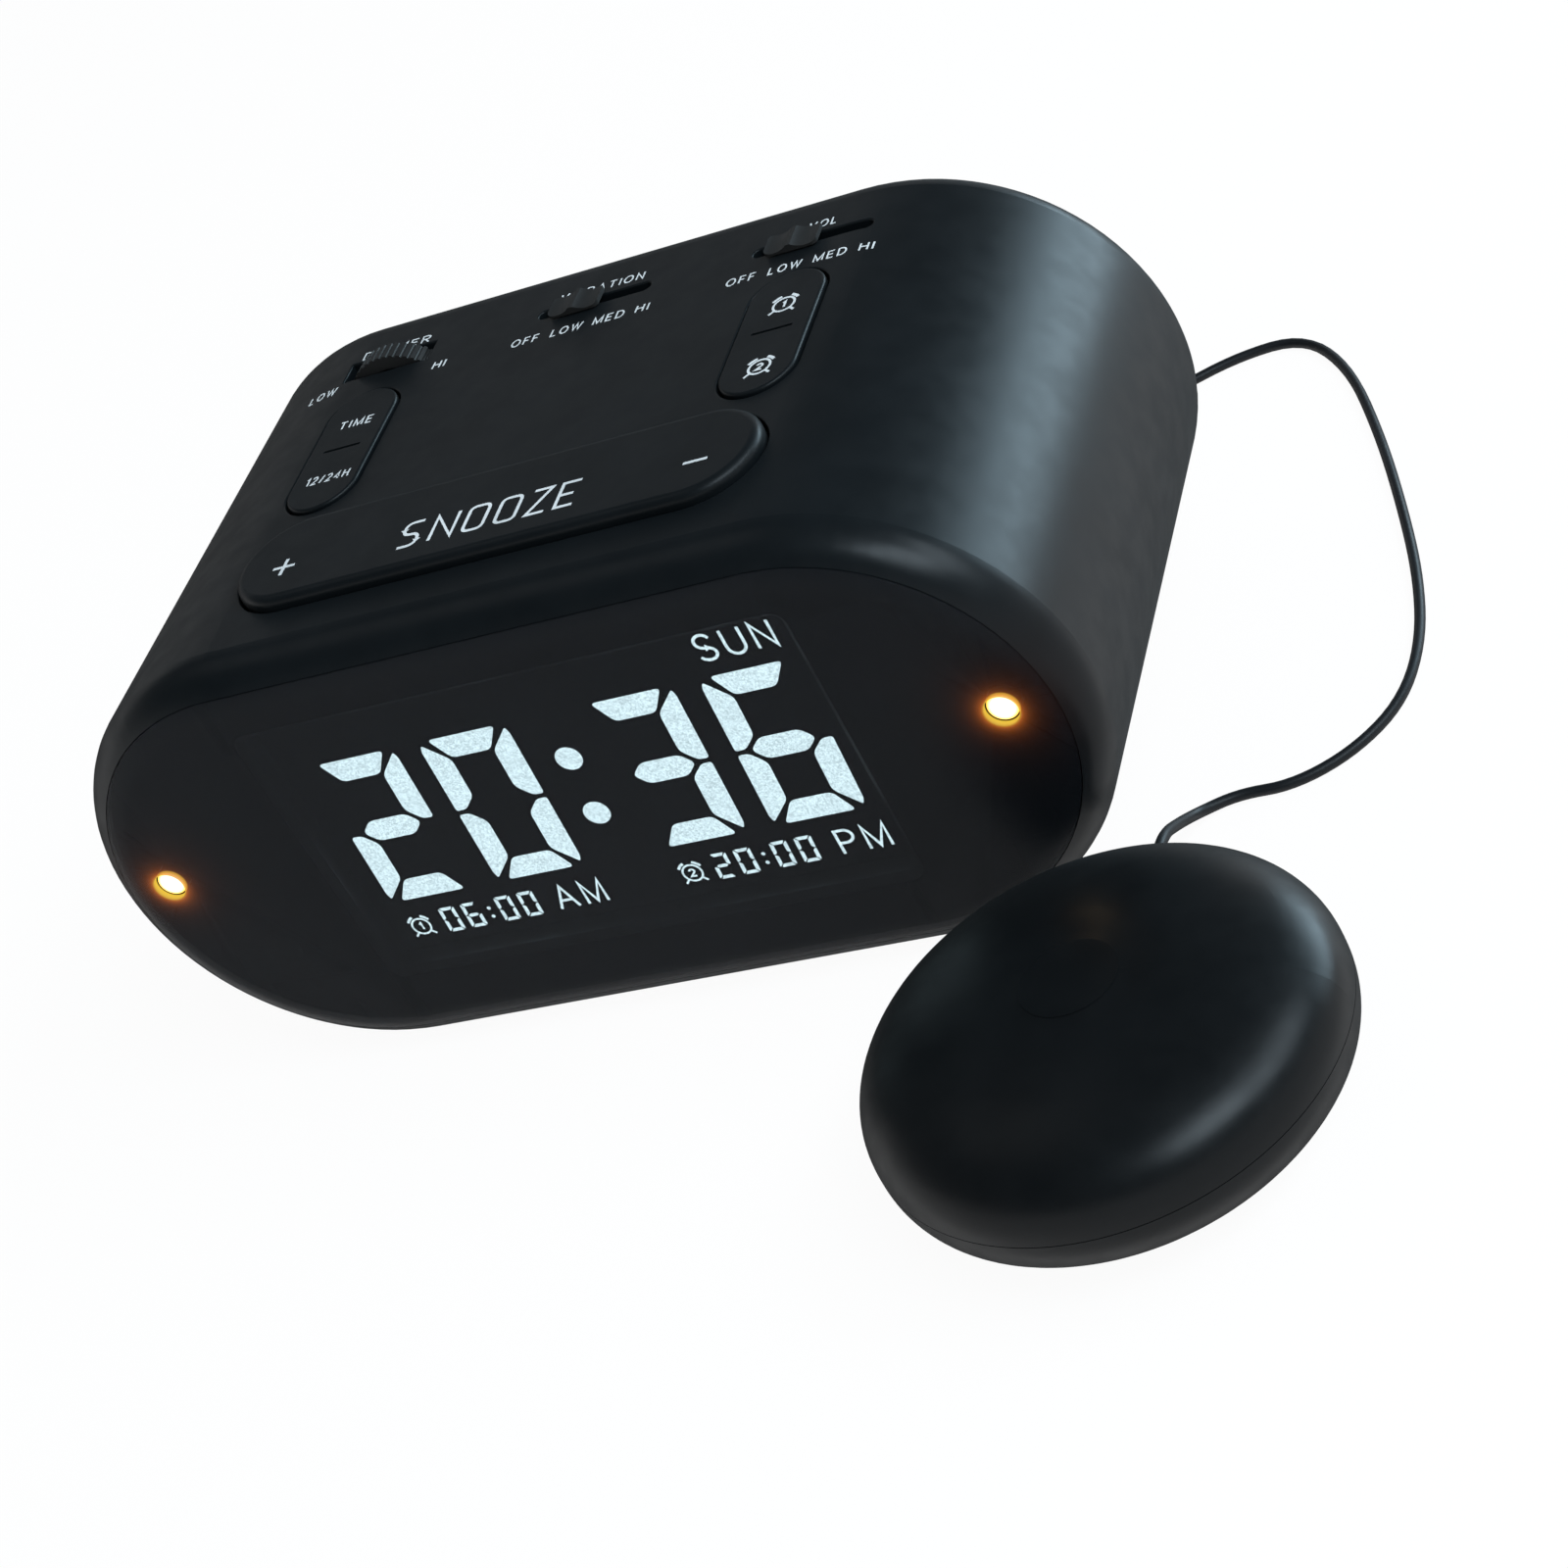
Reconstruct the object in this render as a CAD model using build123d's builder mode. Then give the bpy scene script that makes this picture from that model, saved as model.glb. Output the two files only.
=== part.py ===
from build123d import *
import os
from math import atan2, copysign, cos, degrees, dist, pi, radians, sin, sqrt, tan

# Bed shaker alarm clock: a bedside clock with rounded ends and its controls on top,
# and a round vibrating pad on a thin cord. Lengths are in millimetres.
# Origin: centre of the clock's footprint on the surface it stands on.
# +X is to the viewer's right, +Y towards the back of the clock, +Z up.

os.makedirs("parts", exist_ok=True)

# Case
case_width = 173.0
case_height = 80.0
case_depth = 99.5
case_wall = 2.0
front_edge_radius = 7.75
back_edge_radius = 5.3
foot_proud = 1.0
opening_edge_radius = 0.3

# Clearances
overrun = 1.0
running_clearance = 0.05
seat_gap = 0.15
part_gap = 0.3

# Front lens and the wall behind it
lens_inset = 4.2
lens_thickness = 3.0
front_wall = 2.0

# Back cover
cover_inset = 6.0
cover_thickness = 2.5
ledge_width = 2.0
ledge_thickness = 2.0
cover_boss_inset = 10.0
cover_boss_angle = 56.6
cover_boss_radius = 3.5
cover_boss_length = 16.0
cover_rib_width = 3.0

# Screws, one size throughout the clock
screw_head_radius = 2.4
screw_head_height = 1.6
screw_shank_radius = 1.1
screw_length = 6.0
screw_slot_width = 0.6
screw_slot_depth = 0.7
small_screw_length = 1.7

# Display stack, front to back
display_depth = 8.0
display_end_margin = 37.5
display_edge_margin = 13.0
window_margin = 1.5
window_bevel = 1.2
display_corner = 1.5
panel_thickness = 2.0
housing_depth = 6.0
board_thickness = 1.6
main_board_inset = 7.5
main_post_inset = 13.5
main_post_angle = 42.7
main_post_radius = 3.0

# Signal lights at both ends of the display
light_inset = 12.5
light_rise = 3.25
light_recess = 1.0
light_hole_radius = 2.65
light_pipe_radius = 2.45
light_pipe_length = 6.2
light_flange_radius = 3.4
light_flange_thickness = 0.8
light_pipe_edge = 0.3
led_gap = 0.3
led_radius = 2.5
led_flange_radius = 2.9
led_flange_thickness = 1.0

# Key board under the top
key_board_drop = 12.0
key_board_margin = 3.5
key_board_front_inset = 19.75
key_board_back_inset = 6.75
key_post_gap = 3.6
key_post_front_inset = 5.0
key_post_back_inset = 19.0
key_post_radius = 2.9
tact_width = 6.0
tact_body_height = 3.8
tact_button_radius = 1.6
tact_height = 4.3

# Snooze key: presses straight down, and rocks to + and - about a central pin
snooze_front_inset = 26.05
snooze_width = 22.0
snooze_gap = 0.5
snooze_raise = 2.0
snooze_thickness = 4.0
snooze_edge_radius = 1.5
snooze_travel = 1.0
snooze_tilt = 1.2
snooze_switch_inset = 10.5
carrier_end_gap = 3.5
carrier_width = 13.0
carrier_thickness = 1.6
carrier_stem_inset = 5.0
carrier_stem_radius = 1.5
carrier_stem_length = 9.0
carrier_lug_width = 5.0
carrier_lug_thickness = 2.0
guide_clearance = 0.25
pin_radius = 1.0
pin_drop = 2.6
pin_cover = 0.9
key_lug_length = 7.6
key_lug_width = 5.0
key_foot_width = 3.0
switch_gap = 0.4

# Rocker keys
rocker_inset = 6.5
rocker_front_gap = 4.25
rocker_back_gap = 6.75
rocker_width = 13.2
rocker_gap = 0.5
rocker_raise = 0.5
rocker_thickness = 2.5
rocker_edge_radius = 0.5
rocker_tilt = 3.0
rocker_switch_inset = 4.65
rocker_groove_length = 7.3
rocker_groove_width = 0.6
rocker_groove_depth = 0.4
rocker_lug_width = 11.0
rocker_ear_thickness = 1.8
rocker_ear_width = 5.0
rocker_ear_gap = 0.5

# Dimmer wheel and its potentiometer
dimmer_inset = 6.4
dimmer_back_inset = 16.25
dimmer_slot_length = 17.1
dimmer_slot_width = 5.3
dimmer_radius = 10.0
dimmer_thickness = 4.0
dimmer_rise = 2.3
dimmer_knurls = 48
dimmer_knurl_radius = 0.32
dimmer_web_radius = 7.5
dimmer_web_depth = 1.0
dimmer_axle_radius = 1.5
pot_gap = 0.5
pot_width = 11.0
pot_depth = 5.0
pot_head = 4.8
pot_floor = 0.5
axle_end_gap = 0.5

# Four-position sliders
slider_back_inset = 15.35
vibration_x = 0.0
volume_inset = 6.1
slider_slot_length = 21.4
slider_slot_width = 2.5
slider_step = 6.2
knob_length = 9.4
knob_width = 5.6
knob_corner_radius = 1.0
knob_end_height = 1.1
knob_scoop_height = 0.7
knob_ridge_height = 1.5
knob_ridge_width = 0.7
knob_stem_length = 2.2
knob_stem_width = 2.0
slide_switch_margin = 1.8
slide_switch_width = 7.0
slide_switch_height = 5.0
slide_switch_floor = 1.5

# Speaker on the back cover
speaker_gap = 3.5
speaker_flange = 46.0
speaker_flange_corner = 6.0
speaker_flange_thickness = 1.5
speaker_screw_offset = 19.5
speaker_cone_radius = 20.0
speaker_throat_radius = 12.0
speaker_basket_depth = 8.0
speaker_basket_wall = 1.0
speaker_magnet_radius = 14.0
speaker_magnet_depth = 8.0
speaker_dust_cap_radius = 7.0
speaker_cone_thickness = 0.8
grille_radius = 17.5
grille_slot_height = 2.0
grille_slot_spacing = 4.6
grille_slot_count = 7

# Sockets on the back
socket_rise = 17.5
dc_offset = 18.0
dc_nose_radius = 4.0
dc_bore_radius = 3.0
dc_bore_depth = 10.0
dc_pin_radius = 1.0
dc_body_width = 9.0
dc_body_depth = 13.0
shaker_jack_inset = 18.0
jack_nose_radius = 3.2
jack_body_width = 8.0
jack_body_depth = 16.0
jack_board_drop = 5.5
jack_board_margin = 3.2
jack_board_depth = 16.0
jack_board_gap = 0.25
jack_post_radius = 2.9
jack_post_inset = 9.0

# Backup cell, under a screwed door in the base
cell_x = 8.0
cell_front_inset = 45.75
cell_radius = 10.0
cell_thickness = 3.2
well_radius = 11.0
well_wall = 1.5
well_roof = 1.2
contact_thickness = 0.4
contact_radius = 7.0
spring_height = 2.4
spring_width = 4.0
spring_span = 13.0
spring_thickness = 0.3
door_length = 37.0
door_width = 28.0
door_offset = 4.5
door_corner = 4.0
door_thickness = 1.1
door_boss_radius = 3.2
door_boss_height = 8.0
door_screw_offset = 14.5
door_screw_head_height = 0.7
door_screw_head_radius = 2.0

# One-piece rubber foot ring
foot_ring_length = 82.0
foot_ring_margin = 12.75
foot_ring_corner = 12.0
foot_ring_band = 4.0
foot_ring_seat = 0.8

# Flat cables inside
ribbon_thickness = 0.8
ribbon_bend = 4.0
key_ribbon_width = 20.0
key_ribbon_drop = 12.0
key_ribbon_reach = 18.15
jack_ribbon_width = 10.0
jack_ribbon_offset = 5.5
jack_ribbon_rise = 7.0
jack_ribbon_reach = 1.0
speaker_lead_width = 3.0
speaker_lead_drop = 12.0
speaker_lead_offset = 21.5

# Vibrating pad
pad_x = 84.3
pad_distance = 89.2
pad_radius = 35.9
pad_height = 27.5
pad_power = 2.5
pad_sink = 0.55
pad_wall = 2.0
pad_inner_flat = 2.8
pad_points = 13
pad_boss_radius = 3.8
pad_boss_circle = 26.0
pad_boss_start = 30.0
pad_boss_count = 3
pad_screw_recess = 3.2
pad_screw_length = 10.0
motor_radius = 10.0
motor_length = 25.0
motor_reach = 17.0
motor_boss_radius = 3.5
motor_boss_length = 1.2
motor_edge_radius = 1.0
shaft_radius = 1.0
shaft_inside = 10.0
shaft_reach = 21.0
weight_radius = 8.5
weight_hub_radius = 2.6
weight_thickness = 9.5
weight_end_gap = 0.5
cradle_length = 14.0
cradle_width = 20.0
cradle_rise = 7.0
gland_z = 10.5
gland_base_radius = 2.6
gland_tip_radius = 1.5
gland_flange_radius = 3.8
gland_flange_thickness = 1.2
gland_reach = 5.6
gland_depth = 7.0

# Pad cord, its coil and plug
cord_diameter = 1.8
coil_x = 20.0
coil_y = 83.0
coil_layers = 4
coil_turns_in_layer = 5.5
coil_spacing = 2.35
coil_mid_radius = 10.8
coil_climb_turns = 0.5
coil_heading_step = 0.001
arc_run_share = 0.45
samples_in_arc = 6
tie_thickness = 0.7
tie_gap = 0.3
tie_width = 6.0
plug_pin_radius = 1.75
plug_pin_length = 13.0
plug_body_radius = 4.0
plug_body_length = 14.0
plug_relief_length = 9.0
plug_relief_base = 2.8
plug_relief_tip = 1.5
plug_edge_radius = 0.8

# Levels and faces that the pieces share
base_z = foot_proud
top_z = base_z + case_height
mid_z = base_z + case_height / 2
roof_z = top_z - case_wall
floor_z = base_z + case_wall
front_y = -case_depth / 2
back_y = case_depth / 2
lens_back_y = front_y + lens_thickness
wall_back_y = lens_back_y + front_wall
panel_y = front_y + display_depth
housing_y = panel_y + panel_thickness
board_y = housing_y + housing_depth
board_back_y = board_y + board_thickness
cover_y = back_y - cover_thickness
ledge_y = cover_y - ledge_thickness
key_board_z = roof_z - key_board_drop
switch_z = key_board_z + tact_height
cord_radius = cord_diameter / 2
socket_z = base_z + socket_rise

# Places across and along the clock
flat_length = case_width - case_height
flat_x = flat_length / 2
display_width = case_width - 2 * display_end_margin
display_height = case_height - 2 * display_edge_margin
light_x = case_width / 2 - light_inset
light_z = mid_z + light_rise
snooze_length = flat_length
snooze_y = front_y + snooze_front_inset
snooze_switch_x = snooze_length / 2 - snooze_switch_inset
carrier_length = 2 * (snooze_switch_x - key_foot_width / 2 - carrier_end_gap)
carrier_stem_x = carrier_length / 2 - carrier_stem_inset
slider_y = back_y - slider_back_inset
volume_x = flat_x - volume_inset
dimmer_x = -(flat_x - dimmer_inset)
dimmer_y = back_y - dimmer_back_inset
rocker_front = snooze_y + snooze_width / 2 + rocker_front_gap
rocker_back = slider_y - knob_width / 2 - rocker_back_gap
rocker_length = rocker_back - rocker_front
rocker_x = flat_x - rocker_inset
rocker_y = (rocker_front + rocker_back) / 2
rocker_switch_offset = rocker_length / 2 - rocker_switch_inset
key_board_front = front_y + key_board_front_inset
key_board_back = back_y - key_board_back_inset
key_post_x = snooze_length / 2 + snooze_gap + key_post_gap + key_post_radius
key_post_front = key_board_front + key_post_front_inset
key_post_back = key_board_back - key_post_back_inset
key_board_width = 2 * (key_post_x + key_board_margin)
dc_x = -dc_offset
jack_board_back = ledge_y - jack_board_gap
jack_board_front = jack_board_back - jack_board_depth
jack_post_y = jack_board_back - jack_post_inset
cell_y = front_y + cell_front_inset
foot_ring_width = case_depth - 2 * foot_ring_margin
pad_y = -pad_distance
motor_back = -motor_reach


def front_plane(y):
    """Upright plane at depth y that faces the front, with X across and Z up."""
    return Plane(origin=(0, y, 0), x_dir=(1, 0, 0), z_dir=(0, -1, 0))


def case_slot(inset):
    """The case's rounded outline, drawn in by an inset."""
    with Locations((0, mid_z)):
        SlotOverall(case_width - 2 * inset, case_height - 2 * inset)


def end_circle_places(inset, angle):
    """Four places on the circles round the case's end centres, as far in from its outline."""
    radius = case_height / 2 - inset
    across = flat_x + radius * cos(radians(angle))
    rise = radius * sin(radians(angle))
    return [(sx * across, mid_z + sz * rise) for sx in (-1, 1) for sz in (-1, 1)]


def save(part, name):
    """Label a finished piece and write it under its name."""
    part.label = name
    export_step(part, f"parts/{name}.step")


def four_corners(x, y):
    """Four points at the corners of a rectangle round the origin."""
    return [(sx * x, sy * y) for sx in (-1, 1) for sy in (-1, 1)]


def screw(plane, length, head_radius=screw_head_radius, head_height=screw_head_height):
    """A pan-head screw whose head sits on the plane and whose shank runs behind it."""
    with BuildPart() as body:
        with BuildSketch(plane):
            Circle(head_radius)
        extrude(amount=head_height)
        with BuildSketch(plane):
            Circle(screw_shank_radius - running_clearance)
        extrude(amount=-length)
        with BuildSketch(plane.offset(head_height)):
            Rectangle(2 * head_radius, screw_slot_width)
        extrude(amount=-min(screw_slot_depth, head_height / 2), mode=Mode.SUBTRACT)
    return body.part


# The case's outer form, which the shell, the lens and the back cover share
with BuildPart() as case_form:
    with BuildSketch(front_plane(back_y)):
        case_slot(0)
    extrude(amount=case_depth)
    fillet(case_form.faces().sort_by(Axis.Y)[0].edges(), radius=front_edge_radius)
    fillet(case_form.faces().sort_by(Axis.Y)[-1].edges(), radius=back_edge_radius)

# Places on the top
rocker_places = [(-rocker_x, rocker_y), (rocker_x, rocker_y)]
slider_places = [(vibration_x, slider_y), (volume_x, slider_y)]
key_posts = [(sx * key_post_x, y) for sx in (-1, 1) for y in (key_post_front, key_post_back)]
main_posts = end_circle_places(main_post_inset, main_post_angle)
cover_posts = end_circle_places(cover_boss_inset, cover_boss_angle)
cover_boss_x = max(x for x, z in cover_posts)
speaker_x = cover_boss_x - cover_boss_radius - speaker_gap - speaker_flange / 2
shaker_jack_x = -(cover_boss_x - shaker_jack_inset)
jack_post_left = shaker_jack_x - jack_body_width / 2 - part_gap - jack_post_radius
jack_post_right = dc_x + dc_body_width / 2 + part_gap + jack_post_radius
jack_board_left = jack_post_left - jack_board_margin
jack_board_right = jack_post_right + jack_board_margin
lights = [(-light_x, light_z), (light_x, light_z)]
jack_posts = [(jack_post_left, jack_post_y), (jack_post_right, jack_post_y)]
jack_board_z = socket_z - jack_board_drop
door_x = cell_x + door_offset
door_screw_x = door_x + door_screw_offset
door_z = base_z + door_thickness + seat_gap / 2
well_top_z = door_z + spring_height + cell_thickness + contact_thickness
rocker_pin_z = roof_z - pin_drop
rocker_ear_x = rocker_width / 2 + rocker_gap + rocker_ear_gap
rocker_ear_z = rocker_pin_z - pin_radius - pin_cover
dimmer_z = top_z + dimmer_rise - dimmer_radius

# Case shell: rounded tube with a front wall, a rear ledge, top openings and base well
with BuildPart() as case_shell:
    add(case_form.part)
    with BuildSketch(front_plane(wall_back_y)):
        case_slot(case_wall)
    extrude(amount=wall_back_y - ledge_y, mode=Mode.SUBTRACT)
    with BuildSketch(front_plane(lens_back_y)):
        case_slot(lens_inset)
    extrude(amount=lens_thickness + overrun, mode=Mode.SUBTRACT)
    with BuildSketch(front_plane(back_y + overrun)):
        case_slot(cover_inset)
    extrude(amount=cover_thickness + overrun, mode=Mode.SUBTRACT)
    with BuildSketch(front_plane(cover_y + overrun)):
        case_slot(cover_inset + ledge_width)
    extrude(amount=ledge_thickness + 2 * overrun, mode=Mode.SUBTRACT)
    # Display window, bevelled so that it hides nothing from above, and light holes
    with BuildSketch(front_plane(wall_back_y + overrun)):
        with Locations((0, mid_z)):
            RectangleRounded(
                display_width - 2 * window_margin,
                display_height - 2 * window_margin,
                display_corner,
            )
    extrude(amount=front_wall + 2 * overrun, mode=Mode.SUBTRACT)
    window_edges = case_shell.edges(Select.LAST).group_by(Axis.Y)[0]
    chamfer(window_edges, length=window_bevel)
    with BuildSketch(front_plane(wall_back_y + overrun)):
        with Locations(*lights):
            Circle(light_pipe_radius + seat_gap)
    extrude(amount=front_wall + 2 * overrun, mode=Mode.SUBTRACT)
    # Openings in the top
    with BuildSketch(Plane.XY.offset(roof_z - overrun)):
        with Locations((0, snooze_y)):
            SlotOverall(snooze_length + 2 * snooze_gap, snooze_width + 2 * snooze_gap)
        with Locations(*rocker_places):
            SlotOverall(rocker_length + 2 * rocker_gap, rocker_width + 2 * rocker_gap, rotation=90)
        with Locations(*slider_places):
            SlotOverall(slider_slot_length, slider_slot_width)
        with Locations((dimmer_x, dimmer_y)):
            Rectangle(dimmer_slot_length, dimmer_slot_width)
    extrude(amount=case_wall + 2 * overrun, mode=Mode.SUBTRACT)
    new_edges = case_shell.edges(Select.LAST)
    rims = [e for e in new_edges if min((e @ 0).Z, (e @ 1).Z) > roof_z + case_wall / 2]
    fillet(rims, radius=opening_edge_radius)
    # Posts for the main board, pilot holes open to the back
    with BuildSketch(front_plane(board_y)):
        with Locations(*main_posts):
            Circle(main_post_radius)
    extrude(amount=board_y - wall_back_y + front_wall / 2)
    with BuildSketch(front_plane(board_y + overrun)):
        with Locations(*main_posts):
            Circle(screw_shank_radius)
    extrude(amount=screw_length + overrun, mode=Mode.SUBTRACT)
    # Posts for the key board, hung from the top
    with BuildSketch(Plane.XY.offset(key_board_z)):
        with Locations(*key_posts):
            Circle(key_post_radius)
    extrude(amount=key_board_drop + case_wall / 4)
    with BuildSketch(Plane.XY.offset(key_board_z - overrun)):
        with Locations(*key_posts):
            Circle(screw_shank_radius)
    extrude(amount=screw_length + overrun, mode=Mode.SUBTRACT)
    # Ears that hold the rocker pins
    for place_x, place_y in rocker_places:
        with BuildSketch(Plane.XY.offset(rocker_ear_z)):
            for side in (-1, 1):
                with Locations((place_x + side * (rocker_ear_x + rocker_ear_thickness / 2), place_y)):
                    Rectangle(rocker_ear_thickness, rocker_ear_width)
        extrude(amount=roof_z - rocker_ear_z + case_wall / 4)
        with BuildSketch(Plane.YZ.offset(place_x)):
            with Locations((place_y, rocker_pin_z)):
                Circle(pin_radius + running_clearance / 2)
        extrude(
            amount=rocker_ear_x + rocker_ear_thickness + overrun,
            both=True,
            mode=Mode.SUBTRACT,
        )
    # Rear bosses for the cover screws, each on a rib from the wall
    with BuildSketch(front_plane(cover_y)):
        with Locations(*cover_posts):
            Circle(cover_boss_radius)
        for place_x, place_z in cover_posts:
            past_flat = place_x - copysign(flat_x, place_x)
            with Locations((place_x, place_z)):
                Rectangle(
                    cover_boss_inset - case_wall / 2,
                    cover_rib_width,
                    rotation=degrees(atan2(place_z - mid_z, past_flat)),
                    align=(Align.MIN, Align.CENTER),
                )
    extrude(amount=cover_boss_length)
    with BuildSketch(front_plane(cover_y + overrun)):
        with Locations(*cover_posts):
            Circle(screw_shank_radius)
    extrude(amount=screw_length + overrun, mode=Mode.SUBTRACT)
    # Cell well and the door's screw boss in the base
    with BuildSketch(Plane.XY.offset(base_z + case_wall / 2)):
        with Locations((cell_x, cell_y)):
            Circle(well_radius + well_wall)
    extrude(amount=well_top_z + well_roof - base_z - case_wall / 2)
    with BuildSketch(Plane.XY.offset(base_z + case_wall / 2)):
        with Locations((door_screw_x, cell_y)):
            Circle(door_boss_radius)
    extrude(amount=door_boss_height)
    with BuildSketch(Plane.XY.offset(base_z - overrun)):
        with Locations((cell_x, cell_y)):
            Circle(well_radius)
    extrude(amount=well_top_z - base_z + overrun, mode=Mode.SUBTRACT)
    with BuildSketch(Plane.XY.offset(base_z - overrun)):
        with Locations((door_screw_x, cell_y)):
            Circle(screw_shank_radius)
    extrude(amount=screw_length + overrun, mode=Mode.SUBTRACT)
    with BuildSketch(Plane.XY.offset(base_z - overrun)):
        with Locations((door_x, cell_y)):
            RectangleRounded(
                door_length + 2 * seat_gap, door_width + 2 * seat_gap, door_corner + seat_gap
            )
    extrude(amount=door_z - base_z + overrun, mode=Mode.SUBTRACT)
    # Groove for the foot ring
    with BuildSketch(Plane.XY.offset(base_z - overrun)):
        RectangleRounded(foot_ring_length, foot_ring_width, foot_ring_corner)
        RectangleRounded(
            foot_ring_length - 2 * foot_ring_band,
            foot_ring_width - 2 * foot_ring_band,
            foot_ring_corner - foot_ring_band,
            mode=Mode.SUBTRACT,
        )
    extrude(amount=foot_ring_seat + overrun, mode=Mode.SUBTRACT)
    # Posts for the socket board
    with BuildSketch(Plane.XY.offset(jack_board_z - board_thickness)):
        with Locations(*jack_posts):
            Circle(jack_post_radius)
    extrude(until=Until.NEXT, dir=(0, 0, -1))
    with BuildSketch(Plane.XY.offset(jack_board_z - board_thickness + overrun)):
        with Locations(*jack_posts):
            Circle(screw_shank_radius)
    extrude(amount=-(screw_length + overrun), mode=Mode.SUBTRACT)
save(case_shell.part, "case_shell")

# Front lens: the rounded front of the case form, inside the seam
with BuildPart() as front_lens:
    add(case_form.part)
    with BuildSketch(front_plane(lens_back_y)):
        case_slot(lens_inset + seat_gap)
    extrude(amount=lens_thickness + overrun, mode=Mode.INTERSECT)
    with BuildSketch(front_plane(lens_back_y + overrun)):
        with Locations(*lights):
            Circle(light_hole_radius)
    extrude(amount=lens_thickness + 2 * overrun, mode=Mode.SUBTRACT)
save(front_lens.part, "front_lens")

# Back cover: flat plate in the rear recess, with grille, socket holes and screw seats
with BuildPart() as back_cover:
    with BuildSketch(front_plane(back_y)):
        case_slot(cover_inset + seat_gap)
    extrude(amount=cover_thickness)
    with BuildSketch(front_plane(back_y + overrun)):
        for row in range(grille_slot_count):
            rise = (row - (grille_slot_count - 1) / 2) * grille_slot_spacing
            with Locations((speaker_x, mid_z + rise)):
                SlotOverall(2 * sqrt(grille_radius**2 - rise**2), grille_slot_height)
        with Locations((dc_x, socket_z)):
            Circle(dc_nose_radius + seat_gap)
        with Locations((shaker_jack_x, socket_z)):
            Circle(jack_nose_radius + seat_gap)
        with Locations(*cover_posts):
            Circle(screw_shank_radius + seat_gap)
    extrude(amount=cover_thickness + 2 * overrun, mode=Mode.SUBTRACT)
    with BuildSketch(front_plane(back_y + overrun)):
        with Locations(*cover_posts):
            Circle(screw_head_radius + part_gap)
    extrude(amount=screw_head_height + overrun, mode=Mode.SUBTRACT)
    with BuildSketch(front_plane(cover_y - overrun)):
        speaker_screws_at = [
            (speaker_x + x, mid_z + z)
            for x, z in four_corners(speaker_screw_offset, speaker_screw_offset)
        ]
        with Locations(*speaker_screws_at):
            Circle(screw_shank_radius)
    extrude(amount=-(small_screw_length + overrun), mode=Mode.SUBTRACT)
save(back_cover.part, "back_cover")


def screw_group(name, places, plane_at, length):
    """Identical screws at several places, as separate solids in one node."""
    group = Compound(children=[screw(plane_at(*place), length) for place in places])
    save(group, name)


screw_group(
    "cover_screws",
    cover_posts,
    lambda x, z: Plane(
        origin=(x, back_y - screw_head_height, z), x_dir=(1, 0, 0), z_dir=(0, 1, 0)
    ),
    screw_length,
)
screw_group(
    "main_board_screws",
    main_posts,
    lambda x, z: Plane(origin=(x, board_back_y, z), x_dir=(1, 0, 0), z_dir=(0, 1, 0)),
    screw_length,
)
screw_group(
    "key_board_screws",
    key_posts,
    lambda x, y: Plane(
        origin=(x, y, key_board_z - board_thickness), x_dir=(1, 0, 0), z_dir=(0, 0, -1)
    ),
    screw_length,
)
screw_group(
    "socket_board_screws",
    jack_posts,
    lambda x, y: Plane(origin=(x, y, jack_board_z), x_dir=(1, 0, 0), z_dir=(0, 0, 1)),
    screw_length,
)
screw_group(
    "speaker_screws",
    speaker_screws_at,
    lambda x, z: Plane(
        origin=(x, cover_y - speaker_flange_thickness, z), x_dir=(1, 0, 0), z_dir=(0, -1, 0)
    ),
    speaker_flange_thickness + small_screw_length - running_clearance,
)

# Foam gasket between the front wall and the display
with BuildPart() as display_gasket:
    with BuildSketch(front_plane(panel_y)):
        with Locations((0, mid_z)):
            Rectangle(display_width, display_height)
            RectangleRounded(
                display_width - 2 * window_margin,
                display_height - 2 * window_margin,
                display_corner,
                mode=Mode.SUBTRACT,
            )
    extrude(amount=panel_y - wall_back_y)
save(display_gasket.part, "display_gasket")

# Display panel and the reflector housing behind it
with BuildPart() as display_panel:
    with BuildSketch(front_plane(housing_y)):
        with Locations((0, mid_z)):
            Rectangle(display_width, display_height)
    extrude(amount=panel_thickness)
save(display_panel.part, "display_panel")

with BuildPart() as display_housing:
    with BuildSketch(front_plane(board_y)):
        with Locations((0, mid_z)):
            RectangleRounded(display_width, display_height, display_corner)
    extrude(amount=housing_depth)
    with BuildSketch(front_plane(board_y - panel_thickness)):
        with Locations((0, mid_z)):
            Rectangle(display_width - 2 * window_margin, display_height - 2 * window_margin)
    extrude(amount=housing_depth, mode=Mode.SUBTRACT)
save(display_housing.part, "display_housing")

# Main board, upright behind the display
with BuildPart() as main_board:
    with BuildSketch(front_plane(board_back_y)):
        case_slot(main_board_inset)
        with Locations(*main_posts):
            Circle(screw_shank_radius + part_gap, mode=Mode.SUBTRACT)
    extrude(amount=board_thickness)
save(main_board.part, "main_board")


def light_pipes_part():
    """Two clear rods that carry the signal light through the front wall."""
    front = front_y + light_recess
    with BuildPart() as pipes:
        with BuildSketch(front_plane(front + light_pipe_length)):
            with Locations(*lights):
                Circle(light_pipe_radius)
        extrude(amount=light_pipe_length)
        with BuildSketch(front_plane(wall_back_y + light_flange_thickness)):
            with Locations(*lights):
                Circle(light_flange_radius)
        extrude(amount=light_flange_thickness)
        fillet(pipes.faces().filter_by(Plane.XZ).group_by(Axis.Y)[0].edges(), light_pipe_edge)
    return pipes.part


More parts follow.
